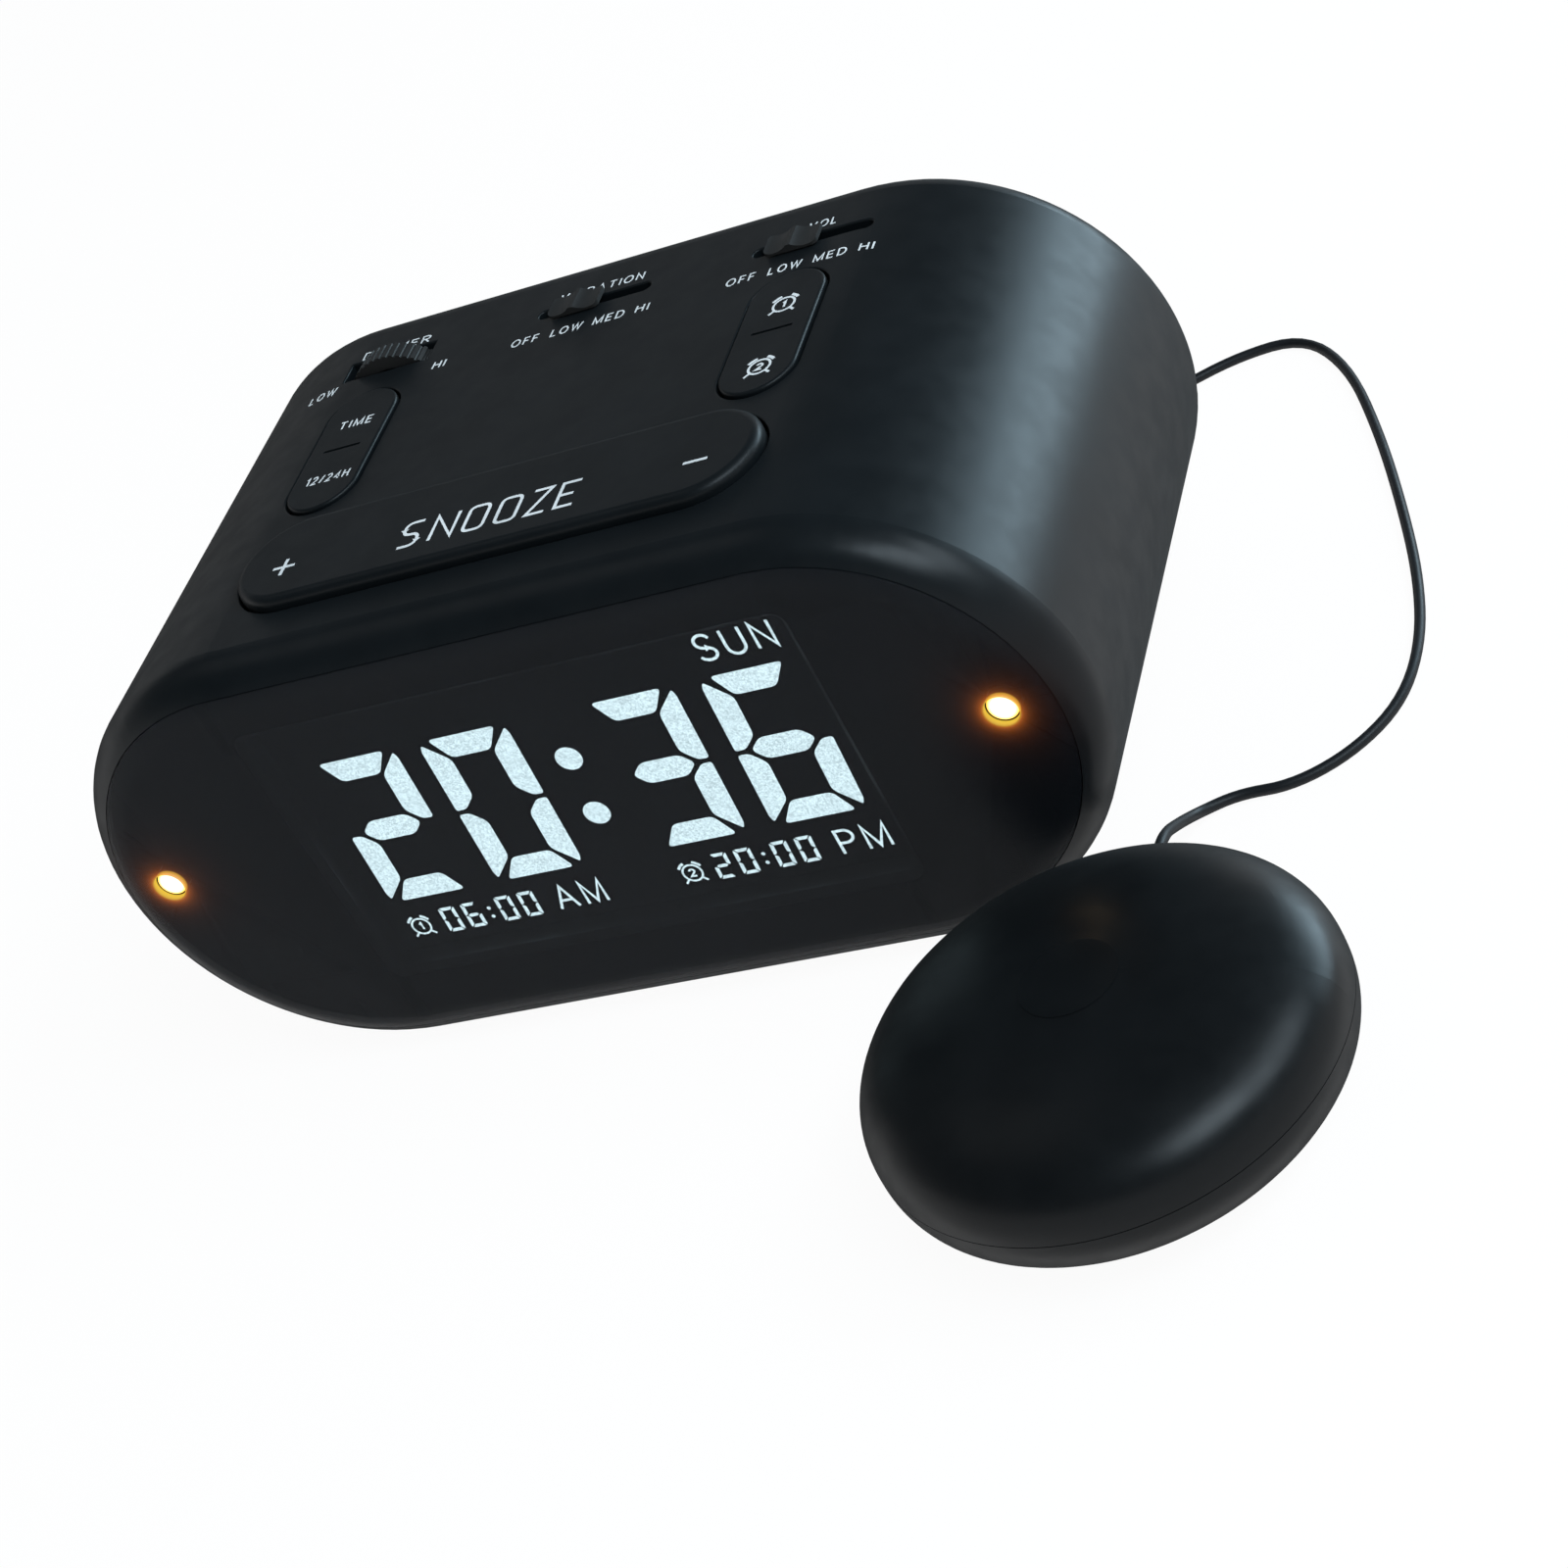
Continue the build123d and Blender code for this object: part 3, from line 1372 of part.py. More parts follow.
# Tapered gland in the back of the pad, with a flange inside the wall
gland_tip = pad_radius + gland_reach
with BuildPart() as shaker_gland:
    with BuildSketch(front_plane(pad_radius - gland_depth)):
        with Locations((0, gland_z)):
            Circle(gland_flange_radius)
    extrude(amount=-gland_flange_thickness)
    with BuildSketch(front_plane(pad_radius - gland_depth)):
        with Locations((0, gland_z)):
            Circle(gland_base_radius)
    extrude(amount=-gland_depth)
    with BuildSketch(front_plane(pad_radius)):
        with Locations((0, gland_z)):
            Circle(gland_base_radius)
    with BuildSketch(front_plane(gland_tip)):
        with Locations((0, gland_z)):
            Circle(gland_tip_radius)
    loft()
save(shaker_gland.part.moved(pad_place), "shaker_gland")

# Coil of the spare cord: one tube that winds in and out, layer on layer
coil_outer_radius = coil_mid_radius + coil_turns_in_layer * coil_spacing / 2
coil_z = tie_thickness + tie_gap + cord_radius
coil_turns = coil_layers * coil_turns_in_layer


def coil_point(turn):
    """Centre of the coiled cord after a number of turns from its outer, lower end."""
    reversal = round(turn / coil_turns_in_layer)
    layer = min(int(turn // coil_turns_in_layer), coil_layers - 1)
    in_layer = turn - layer * coil_turns_in_layer
    if layer % 2 == 1:
        in_layer = coil_turns_in_layer - in_layer
    radius = coil_outer_radius - coil_spacing * in_layer
    level = layer
    from_reversal = turn - reversal * coil_turns_in_layer
    if 0 < reversal < coil_layers and abs(from_reversal) < coil_climb_turns / 2:
        share = from_reversal / coil_climb_turns + 1 / 2
        level = reversal - 1 + share * share * (3 - 2 * share)
    angle = pi / 2 + 2 * pi * turn
    return Vector(
        coil_x + radius * cos(angle),
        coil_y + radius * sin(angle),
        coil_z + level * coil_spacing,
    )


def coil_heading(turn, side):
    """Direction of the coiled cord at a number of turns, taken on one side of it."""
    later = coil_point(turn + max(side, 0) * coil_heading_step)
    earlier = coil_point(turn + min(side, 0) * coil_heading_step)
    return (later - earlier).normalized()


def biarc(start, start_heading, end, end_heading):
    """Two tangent arcs between two points with given directions."""
    chord = end - start
    along = chord.dot(start_heading + end_heading)
    spread = 2 * (1 - start_heading.dot(end_heading))
    reach = (-along + sqrt(along**2 + spread * chord.dot(chord))) / spread
    middle = (start + start_heading * reach + end - end_heading * reach) * 0.5
    first = TangentArc(start, middle, tangent=start_heading)
    return [first, TangentArc(middle, end, tangent=first % 1)]


coil_start_heading = coil_heading(0, 1)
coil_end_heading = coil_heading(coil_turns, -1)
coil_start = coil_point(0) - coil_start_heading * cord_diameter
coil_end = coil_point(coil_turns) + coil_end_heading * cord_diameter
half_turns = [0] + [(2 * k + 1) / 4 for k in range(int(2 * coil_turns))] + [coil_turns]
with BuildPart() as cord_coil:
    with BuildLine() as coil_line:
        Line(coil_start, coil_point(0))
        heading = coil_start_heading
        for first_turn, last_turn in zip(half_turns, half_turns[1:]):
            next_heading = coil_heading(last_turn, -1)
            biarc(coil_point(first_turn), heading, coil_point(last_turn), next_heading)
            heading = next_heading
        Line(coil_point(coil_turns), coil_end)
    with BuildSketch(Plane(origin=coil_start, z_dir=coil_start_heading)):
        Circle(cord_radius)
    sweep()
save(cord_coil.part, "cord_coil")

# The coil's least gap to itself, measured between points at least a third of a turn apart
coil_samples = []
for edge in coil_line.edges():
    coil_samples += [tuple(edge.position_at(k / samples_in_arc)) for k in range(samples_in_arc)]
skip = int(len(coil_samples) / (3 * coil_turns))
nearest = min(
    dist(a, b) for i, a in enumerate(coil_samples) for b in coil_samples[i + skip :]
)
print(f"coil: least gap between turns {nearest - cord_diameter:.2f} mm")


def tube(points, name):
    """A cord along straight runs joined by arcs as large as the runs allow."""
    radii = []
    for before, corner, after in zip(points, points[1:], points[2:]):
        run_in = Vector(*corner) - Vector(*before)
        run_out = Vector(*after) - Vector(*corner)
        turn = radians(run_in.get_angle(run_out))
        radii.append(arc_run_share * min(run_in.length, run_out.length) / tan(turn / 2))
    with BuildPart() as cord:
        with BuildLine() as route:
            FilletPolyline(*points, radius=radii)
        with BuildSketch(Plane(origin=route.line @ 0, z_dir=route.line % 0)):
            Circle(cord_radius)
        sweep()
    length = sum(edge.length for edge in route.edges())
    ratio = cord.part.volume / (pi * cord_radius**2 * length)
    print(f"{name}: {length:.1f} mm, volume over section times length {ratio:.4f}")
    print("  radii", [round(r, 1) for r in radii])
    save(cord.part, name)
    return length


# Route of the cord from the pad's gland along the surface to the coil
gland_exit = (pad_x, pad_y + gland_tip, gland_z)
front_route = [
    gland_exit,
    (84.3, -42.6, gland_z),
    (84.2, -35.2, 6.1),
    (84.9, -28.4, 1.9),
    (90.6, -24.6, 0.9),
    (99.4, -25.0, 0.9),
    (108.6, -19.6, 0.9),
    (115.2, -10.0, 0.9),
    (116.9, 4.0, 0.9),
    (114.9, 21.0, 0.9),
    (110.6, 40.0, 0.9),
    (104.6, 62.5, 0.9),
    (96.6, 86.2, 0.9),
    (86.6, 99.9, 0.9),
    (73.6, 98.8, 0.9),
    (61.5, 92.2, 0.9),
    (50.5, 92.6, 1.1),
    (39.0, 98.0, 1.6),
    tuple(coil_start - coil_start_heading * 5 * cord_diameter),
    tuple(coil_start),
]
# Route from the coil's top turn down to the surface and up to the plug
plug_tip_y = back_y + part_gap + plug_body_length + plug_relief_length
rear_route = [
    tuple(coil_end),
    tuple(coil_end + coil_end_heading * 4 * cord_diameter),
    (2.0, 99.4, 3.6),
    (-8.0, 98.8, 1.0),
    (-20.5, 99.6, 0.9),
    (-32.0, 99.4, 0.9),
    (-41.5, 96.6, 0.9),
    (-45.3, 90.6, 2.6),
    (-45.1, 84.8, 10.2),
    (shaker_jack_x, plug_tip_y + 4 * cord_diameter, socket_z),
    (shaker_jack_x, plug_tip_y, socket_z),
]
front_length = tube(front_route, "cord_front")
rear_length = tube(rear_route, "cord_rear")
coil_length = sum(edge.length for edge in coil_line.edges())
print(f"cord length {front_length + coil_length + rear_length:.0f} mm, coil {coil_length:.0f} mm")

# Tie round one side of the coil
tie_inner_low = coil_outer_radius - coil_turns_in_layer * coil_spacing - cord_radius - tie_gap
tie_inner_high = coil_outer_radius + cord_radius + tie_gap
tie_height = (coil_layers - 1) * coil_spacing + cord_diameter + 2 * tie_gap
with BuildPart() as cord_tie:
    with BuildSketch(Plane.YZ.offset(coil_x)):
        tie_y = coil_y - (tie_inner_low + tie_inner_high) / 2
        tie_length = tie_inner_high - tie_inner_low
        with Locations((tie_y, tie_thickness + tie_height / 2)):
            RectangleRounded(
                tie_length + 2 * tie_thickness, tie_height + 2 * tie_thickness, 2 * tie_thickness
            )
            RectangleRounded(tie_length, tie_height, tie_thickness, mode=Mode.SUBTRACT)
    extrude(amount=tie_width / 2, both=True)
save(cord_tie.part, "cord_tie")

# Plug in the shaker jack: pin, grip and tapered relief
plug_face = back_y + part_gap
grip_end = plug_face + plug_body_length
with BuildPart() as cord_plug:
    with BuildSketch(front_plane(plug_face)):
        with Locations((shaker_jack_x, socket_z)):
            Circle(plug_body_radius)
    extrude(amount=-plug_body_length)
    fillet(cord_plug.edges().filter_by(GeomType.CIRCLE), radius=plug_edge_radius)
    with BuildSketch(front_plane(plug_face + overrun)):
        with Locations((shaker_jack_x, socket_z)):
            Circle(plug_pin_radius)
    extrude(amount=plug_pin_length + overrun)
    with BuildSketch(front_plane(grip_end)):
        with Locations((shaker_jack_x, socket_z)):
            Circle(plug_relief_base)
    with BuildSketch(front_plane(plug_tip_y)):
        with Locations((shaker_jack_x, socket_z)):
            Circle(plug_relief_tip)
    loft()
save(cord_plug.part, "cord_plug")
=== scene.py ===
from math import cos, pi, radians, sin, sqrt

import bmesh
import bpy
from mathutils import Matrix, Vector


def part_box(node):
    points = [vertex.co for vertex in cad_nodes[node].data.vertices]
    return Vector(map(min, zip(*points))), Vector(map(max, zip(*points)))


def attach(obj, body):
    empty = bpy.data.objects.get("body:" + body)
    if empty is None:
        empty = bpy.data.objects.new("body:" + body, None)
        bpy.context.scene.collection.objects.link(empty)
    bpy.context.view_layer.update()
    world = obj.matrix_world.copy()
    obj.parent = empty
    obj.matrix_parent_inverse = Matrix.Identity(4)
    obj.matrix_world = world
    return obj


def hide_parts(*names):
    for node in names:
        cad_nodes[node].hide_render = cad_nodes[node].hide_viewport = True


# Bed shaker alarm clock: the looks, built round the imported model.
# Positions are in metres in the model's frame; MM turns millimetres into metres.

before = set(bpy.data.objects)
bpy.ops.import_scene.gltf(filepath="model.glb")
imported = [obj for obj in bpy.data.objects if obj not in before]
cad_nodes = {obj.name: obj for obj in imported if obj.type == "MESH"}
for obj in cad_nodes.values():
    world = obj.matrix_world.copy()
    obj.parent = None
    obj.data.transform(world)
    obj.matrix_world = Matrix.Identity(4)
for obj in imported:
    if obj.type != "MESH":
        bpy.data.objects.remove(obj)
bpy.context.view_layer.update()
MM = 0.001

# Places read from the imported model
case_low, case_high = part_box("case_shell")
panel_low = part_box("display_panel")[0]
bar_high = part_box("snooze_bar")[1]
time_low, time_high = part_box("time_rocker")
alarm_low, alarm_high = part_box("alarm_rocker")
pipe_low, pipe_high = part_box("light_pipes")
pipe_radius = (pipe_high.z - pipe_low.z) / 2
pipe_face_radius = 2.45 * MM
lens_low, lens_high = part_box("front_lens")
wheel_low, wheel_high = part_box("dimmer_wheel")
volume_low, volume_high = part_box("volume_knob")
vibration_low, vibration_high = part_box("vibration_knob")
case_radius = (case_high.z - case_low.z) / 2
case_mid_z = (case_high.z + case_low.z) / 2
flat_x = case_high.x - case_radius
light_x = pipe_high.x - pipe_radius
light_z = (pipe_high.z + pipe_low.z) / 2


# Materials

def new_material(name, colour, roughness, specular=0.5, metallic=0.0):
    """A principled material with constant values, and its node tree and shader."""
    material = bpy.data.materials.new(name)
    material.use_nodes = True
    tree = material.node_tree
    shader = tree.nodes["Principled BSDF"]
    shader.inputs["Base Color"].default_value = (*colour, 1)
    shader.inputs["Roughness"].default_value = roughness
    shader.inputs["Specular IOR Level"].default_value = specular
    shader.inputs["Metallic"].default_value = metallic
    return material, tree, shader


def own_place(tree):
    """The shaded point's X, Y and Z in the piece's own space."""
    place = tree.nodes.new("ShaderNodeTexCoord")
    parts = tree.nodes.new("ShaderNodeSeparateXYZ")
    tree.links.new(place.outputs["Object"], parts.inputs["Vector"])
    return parts.outputs["X"], parts.outputs["Y"], parts.outputs["Z"]


def reckon(tree, operation, *values):
    """A math node's result; each value is a number or another node's output."""
    node = tree.nodes.new("ShaderNodeMath")
    node.operation = operation
    for socket, value in zip(node.inputs, values):
        if isinstance(value, (int, float)):
            socket.default_value = value
        else:
            tree.links.new(value, socket)
    return node.outputs["Value"]


def noise(tree, size, detail=2.0, roughness=0.5, stretch=(1, 1, 1)):
    """Noise over the piece's own space, with grains of a size in metres."""
    place = tree.nodes.new("ShaderNodeTexCoord")
    mapping = tree.nodes.new("ShaderNodeMapping")
    mapping.inputs["Scale"].default_value = stretch
    texture = tree.nodes.new("ShaderNodeTexNoise")
    texture.inputs["Scale"].default_value = 1 / size
    texture.inputs["Detail"].default_value = detail
    texture.inputs["Roughness"].default_value = roughness
    tree.links.new(place.outputs["Object"], mapping.inputs["Vector"])
    tree.links.new(mapping.outputs["Vector"], texture.inputs["Vector"])
    return texture.outputs["Fac"]


def spread(tree, value, low, high, source=(0.35, 0.65)):
    """A value mapped from a source range to a low and a high."""
    node = tree.nodes.new("ShaderNodeMapRange")
    node.inputs["From Min"].default_value = source[0]
    node.inputs["From Max"].default_value = source[1]
    node.inputs["To Min"].default_value = low
    node.inputs["To Max"].default_value = high
    tree.links.new(value, node.inputs["Value"])
    return node.outputs["Result"]


def blend_colours(tree, shader, value, first, second):
    """Base colour mixed from two by a value."""
    mix = tree.nodes.new("ShaderNodeMix")
    mix.data_type = "RGBA"
    mix.inputs["A"].default_value = (*first, 1)
    mix.inputs["B"].default_value = (*second, 1)
    tree.links.new(value, mix.inputs["Factor"])
    tree.links.new(mix.outputs["Result"], shader.inputs["Base Color"])


def bump(tree, shader, value, strength, height):
    """Bump of a height in metres from a value."""
    node = tree.nodes.new("ShaderNodeBump")
    node.inputs["Strength"].default_value = strength
    node.inputs["Distance"].default_value = height
    tree.links.new(value, node.inputs["Height"])
    tree.links.new(node.outputs["Normal"], shader.inputs["Normal"])


def plastic(name, dark, light, roughness, specular, grain=0.25 * MM, depth=0.012 * MM):
    """Satin moulded plastic: fine spark-eroded grain, faint flow marks in colour and gloss.

    The grain dulls the gloss where the surface is seen or lit from a low angle."""
    material, tree, shader = new_material(name, light, roughness, specular)
    blend_colours(tree, shader, spread(tree, noise(tree, 14 * MM, 3), 0, 1), dark, light)
    gloss = spread(tree, noise(tree, 5 * MM, 4), roughness - 0.03, roughness + 0.03)
    slant = tree.nodes.new("ShaderNodeLayerWeight")
    slant.inputs["Blend"].default_value = 0.5
    dulling = spread(tree, slant.outputs["Facing"], 0, 0.55, (0.5, 0.95))
    dulled = reckon(tree, "MINIMUM", reckon(tree, "ADD", gloss, dulling), 1.0)
    tree.links.new(dulled, shader.inputs["Roughness"])
    bump(tree, shader, noise(tree, grain, 2), 0.35, depth)
    return material, tree, shader


def metal(name, colour, roughness, brush=(1, 1, 1)):
    """Steel with a fine brushed finish and uneven gloss."""
    material, tree, shader = new_material(name, colour, roughness, 0.5, 1.0)
    gloss = spread(tree, noise(tree, 1.2 * MM, 3, 0.6, brush), roughness - 0.08, roughness + 0.1)
    tree.links.new(gloss, shader.inputs["Roughness"])
    bump(tree, shader, noise(tree, 0.4 * MM, 2, 0.5, brush), 0.2, 0.008 * MM)
    return material


def cloth(name, dark, light, thread, roughness=0.85):
    """Woven tape: crossed ridges a thread apart, over mottled colour."""
    material, tree, shader = new_material(name, light, roughness, 0.2)
    place = tree.nodes.new("ShaderNodeTexCoord")
    ridges = []
    for direction in ("X", "Y"):
        wave = tree.nodes.new("ShaderNodeTexWave")
        wave.bands_direction = direction
        wave.inputs["Scale"].default_value = pi / (10 * thread)
        wave.inputs["Distortion"].default_value = 0.6
        tree.links.new(place.outputs["Object"], wave.inputs["Vector"])
        ridges.append(wave.outputs["Fac"])
    weave = reckon(tree, "MAXIMUM", *ridges)
    blend_colours(tree, shader, spread(tree, noise(tree, 0.6 * MM, 3), 0, 1), dark, light)
    bump(tree, shader, weave, 0.5, 0.08 * MM)
    return material


def light_distance(tree, deep=True):
    """Distance from the nearer signal light's middle, or from its axis if not deep."""
    x, y, z = own_place(tree)
    folded = tree.nodes.new("ShaderNodeCombineXYZ")
    tree.links.new(reckon(tree, "ABSOLUTE", x), folded.inputs["X"])
    if deep:
        tree.links.new(y, folded.inputs["Y"])
    tree.links.new(z, folded.inputs["Z"])
    distance = tree.nodes.new("ShaderNodeVectorMath")
    distance.operation = "DISTANCE"
    distance.inputs[1].default_value = (light_x, case_low.y if deep else 0, light_z)
    tree.links.new(folded.outputs["Vector"], distance.inputs[0])
    return distance.outputs["Value"]


def painted_glow(tree, distance, layers):
    """Strength of a painted glow that fades with distance, summed from layers of an amount and a
    reach.
    """
    total = 0
    for amount, reach in layers:
        fade = reckon(tree, "EXPONENT", reckon(tree, "MULTIPLY", distance, -1 / reach))
        total = reckon(tree, "MULTIPLY_ADD", fade, amount, total)
    return total


def two_tone_ramp(tree, value, first, first_colour, second, second_colour):
    """A colour that passes from one to another between two values."""
    ramp = tree.nodes.new("ShaderNodeValToRGB")
    start, end = ramp.color_ramp.elements
    start.position = first
    start.color = (*first_colour, 1)
    end.position = second
    end.color = (*second_colour, 1)
    tree.links.new(value, ramp.inputs["Fac"])
    return ramp


orange = (1.0, 0.24, 0.03)
yellow = (1.0, 0.66, 0.06)
amber = (1.0, 0.5, 0.06)
hot_white = (1.0, 0.93, 0.72)


def case_material():
    """Black satin plastic, with painted orange light round the signal lights, as if spilt from
    them.
    """
    material, tree, shader = plastic(
        "case_black", (0.0034, 0.0048, 0.0058), (0.0048, 0.0064, 0.0076), 0.34, 0.15
    )
    shader.inputs["Emission Color"].default_value = (*orange, 1)
    # Painted light: an orange glow on the case that fades out from each signal light.
    strength = painted_glow(tree, light_distance(tree), [(0.09, 3.2 * MM)])
    tree.links.new(strength, shader.inputs["Emission Strength"])
    return material


def lens_material():
    """Dark tinted acrylic that lets a third of the light through, with a painted glow halo round
    the lights on its front face.
    """
    material, tree, shader = new_material("lens_tint", (0.0075, 0.0088, 0.0105), 0.3, 0.14)
    blend_colours(
        tree,
        shader,
        spread(tree, noise(tree, 20 * MM, 2), 0, 1),
        (0.0070, 0.0088, 0.0112),
        (0.0082, 0.0100, 0.0124),
    )
    bump(tree, shader, noise(tree, 0.3 * MM, 2), 0.2, 0.005 * MM)
    shader.inputs["Alpha"].default_value = 0.68
    # Painted light: a yellow to orange glow halo on the lens front, fading out from each signal
    # light.
    distance = light_distance(tree)
    painted_halo = painted_glow(tree, distance, [(400, 0.42 * MM), (5.0, 1.05 * MM), (0.07, 3.2 * MM)])
    depth = own_place(tree)[1]
    front = spread(tree, depth, 1, 0, (pipe_low.y, pipe_low.y + 0.2 * MM))
    tree.links.new(reckon(tree, "MULTIPLY", painted_halo, front), shader.inputs["Emission Strength"])
    wall_radius = pipe_face_radius + 0.2 * MM
    reach = spread(tree, distance, 0, 1, (wall_radius, wall_radius + 0.5 * MM))
    hue = two_tone_ramp(tree, reach, 0.0, yellow, 1.0, orange)
    tree.links.new(hue.outputs["Color"], shader.inputs["Emission Color"])
    return material


def light_pipe_material():
    """Clear rod that shines from its front face: a white-hot core and an amber rim."""
    material, tree, shader = new_material("amber_light", (0.12, 0.05, 0.01), 0.3, 0.4)
    reach = spread(tree, light_distance(tree, deep=False), 0, 1, (0, pipe_face_radius))
    ramp = two_tone_ramp(tree, reach, 0.55, hot_white, 0.95, amber)
    tree.links.new(ramp.outputs["Color"], shader.inputs["Emission Color"])
    depth = own_place(tree)[1]
    front = spread(tree, depth, 2.6, 0.02, (pipe_low.y, pipe_low.y + 0.3 * MM))
    tree.links.new(front, shader.inputs["Emission Strength"])
    return material


def digit_material():
    """Icy white display light with a fine frosted grain."""
    material, tree, shader = new_material("display_light", (0.55, 0.62, 0.64), 0.6, 0.2)
    shader.inputs["Emission Color"].default_value = (0.72, 0.93, 1.0, 1)
    grain = spread(tree, noise(tree, 0.32 * MM, 3, 0.8), 5.4, 11.4, (0.36, 0.62))
    tree.links.new(grain, shader.inputs["Emission Strength"])
    return material


def board_material():
    """Green lacquered circuit board with pale mottling."""
    material, tree, shader = new_material("board_green", (0.01, 0.09, 0.03), 0.35, 0.5)
    tone = spread(tree, noise(tree, 1.6 * MM, 2), 0, 1, (0.45, 0.55))
    blend_colours(tree, shader, tone, (0.008, 0.075, 0.03), (0.02, 0.14, 0.05))
    bump(tree, shader, noise(tree, 0.8 * MM, 2), 0.3, 0.03 * MM)
    return material


def foam_material():
    """Black open-cell foam."""
    material, tree, shader = new_material("foam_black", (0.015, 0.015, 0.017), 0.95, 0.1)
    blend_colours(
        tree, shader, spread(tree, noise(tree, 0.9 * MM, 4), 0, 1), (0.008,) * 3, (0.03,) * 3
    )
    bump(tree, shader, noise(tree, 0.7 * MM, 4, 0.8), 0.8, 0.3 * MM)
    return material


def paper_material():
    """Grey felted paper of the speaker cone."""
    material, tree, shader = new_material("cone_paper", (0.05, 0.05, 0.055), 0.9, 0.15)
    blend_colours(
        tree, shader, spread(tree, noise(tree, 0.7 * MM, 5, 0.8), 0, 1), (0.03,) * 3, (0.075,) * 3
    )
    bump(tree, shader, noise(tree, 0.4 * MM, 4, 0.8), 0.5, 0.06 * MM)
    return material


case_black = case_material()
key_black = plastic("key_black", (0.0036, 0.005, 0.006), (0.005, 0.0066, 0.0078), 0.38, 0.14)[0]
pad_black = plastic("pad_black", (0.003, 0.0037, 0.0043), (0.004, 0.0048, 0.0055), 0.34, 0.16)[0]
part_black = plastic("part_black", (0.006,) * 3, (0.01,) * 3, 0.5, 0.35)[0]
part_white = plastic("part_white", (0.62, 0.62, 0.6), (0.72, 0.72, 0.7), 0.45, 0.4)[0]
foot_rubber = plastic(
    "foot_rubber", (0.012,) * 3, (0.022, 0.022, 0.024), 0.8, 0.3, 0.5 * MM, 0.03 * MM
)[0]
cord_rubber = plastic(
    "cord_rubber", (0.005, 0.0058, 0.0068), (0.008, 0.009, 0.0105), 0.45, 0.2, 0.3 * MM, 0.012 * MM
)[0]
print_white = plastic("print_white", (0.5, 0.52, 0.53), (0.62, 0.64, 0.65), 0.7, 0.15)[0]
panel_black = plastic("panel_black", (0.0015,) * 3, (0.0025,) * 3, 0.6, 0.05)[0]
ribbon_grey = plastic("ribbon_grey", (0.3, 0.3, 0.31), (0.42, 0.42, 0.43), 0.55, 0.4)[0]
lens_tint = lens_material()
amber_light = light_pipe_material()
display_light = digit_material()
board_green = board_material()
foam_black = foam_material()
cone_paper = paper_material()
screw_steel = metal("screw_steel", (0.42, 0.42, 0.44), 0.32)
pin_steel = metal("pin_steel", (0.55, 0.55, 0.57), 0.25, (1, 6, 1))
sheet_steel = metal("sheet_steel", (0.5, 0.5, 0.5), 0.38, (6, 1, 1))
motor_steel = metal("motor_steel", (0.58, 0.58, 0.6), 0.3, (8, 1, 1))
tie_tape = cloth("tie_tape", (0.012,) * 3, (0.022, 0.023, 0.026), 0.5 * MM)

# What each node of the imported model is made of
finishes = {
    case_black: ["case_shell", "back_cover", "battery_door"],
    key_black: ["snooze_bar", "time_rocker", "alarm_rocker"],
    pad_black: ["shaker_top_shell", "shaker_bottom_shell"],
    part_black: [
        "vibration_knob", "volume_knob", "dimmer_wheel", "shaker_gland",
        "dc_socket", "shaker_jack", "dimmer_pot", "slide_switches", "tact_switches",
    ],
    part_white: ["snooze_carrier", "display_housing"],
    lens_tint: ["front_lens"],
    panel_black: ["display_panel", "display_gasket"],
    amber_light: ["light_pipes", "signal_leds"],
    board_green: ["main_board", "key_board", "socket_board"],
    screw_steel: [
        "cover_screws", "main_board_screws", "key_board_screws", "socket_board_screws",
        "speaker_screws", "shaker_screws", "battery_door_screw",
    ],
    pin_steel: ["rocker_pins", "snooze_pin", "motor_shaft", "eccentric_weight"],
    sheet_steel: ["cell_contacts", "coin_cell", "speaker_basket"],
    motor_steel: ["shaker_motor"],
    cone_paper: ["speaker_cone"],
    foam_black: ["motor_cradles"],
    foot_rubber: ["foot_ring"],
    ribbon_grey: ["key_ribbon", "socket_ribbon", "speaker_lead"],
    cord_rubber: ["cord_plug"],
}
for finish, names in finishes.items():
    for name in names:
        cad_nodes[name].data.materials.clear()
        cad_nodes[name].data.materials.append(finish)


# Printed and lit shapes, thin and closed

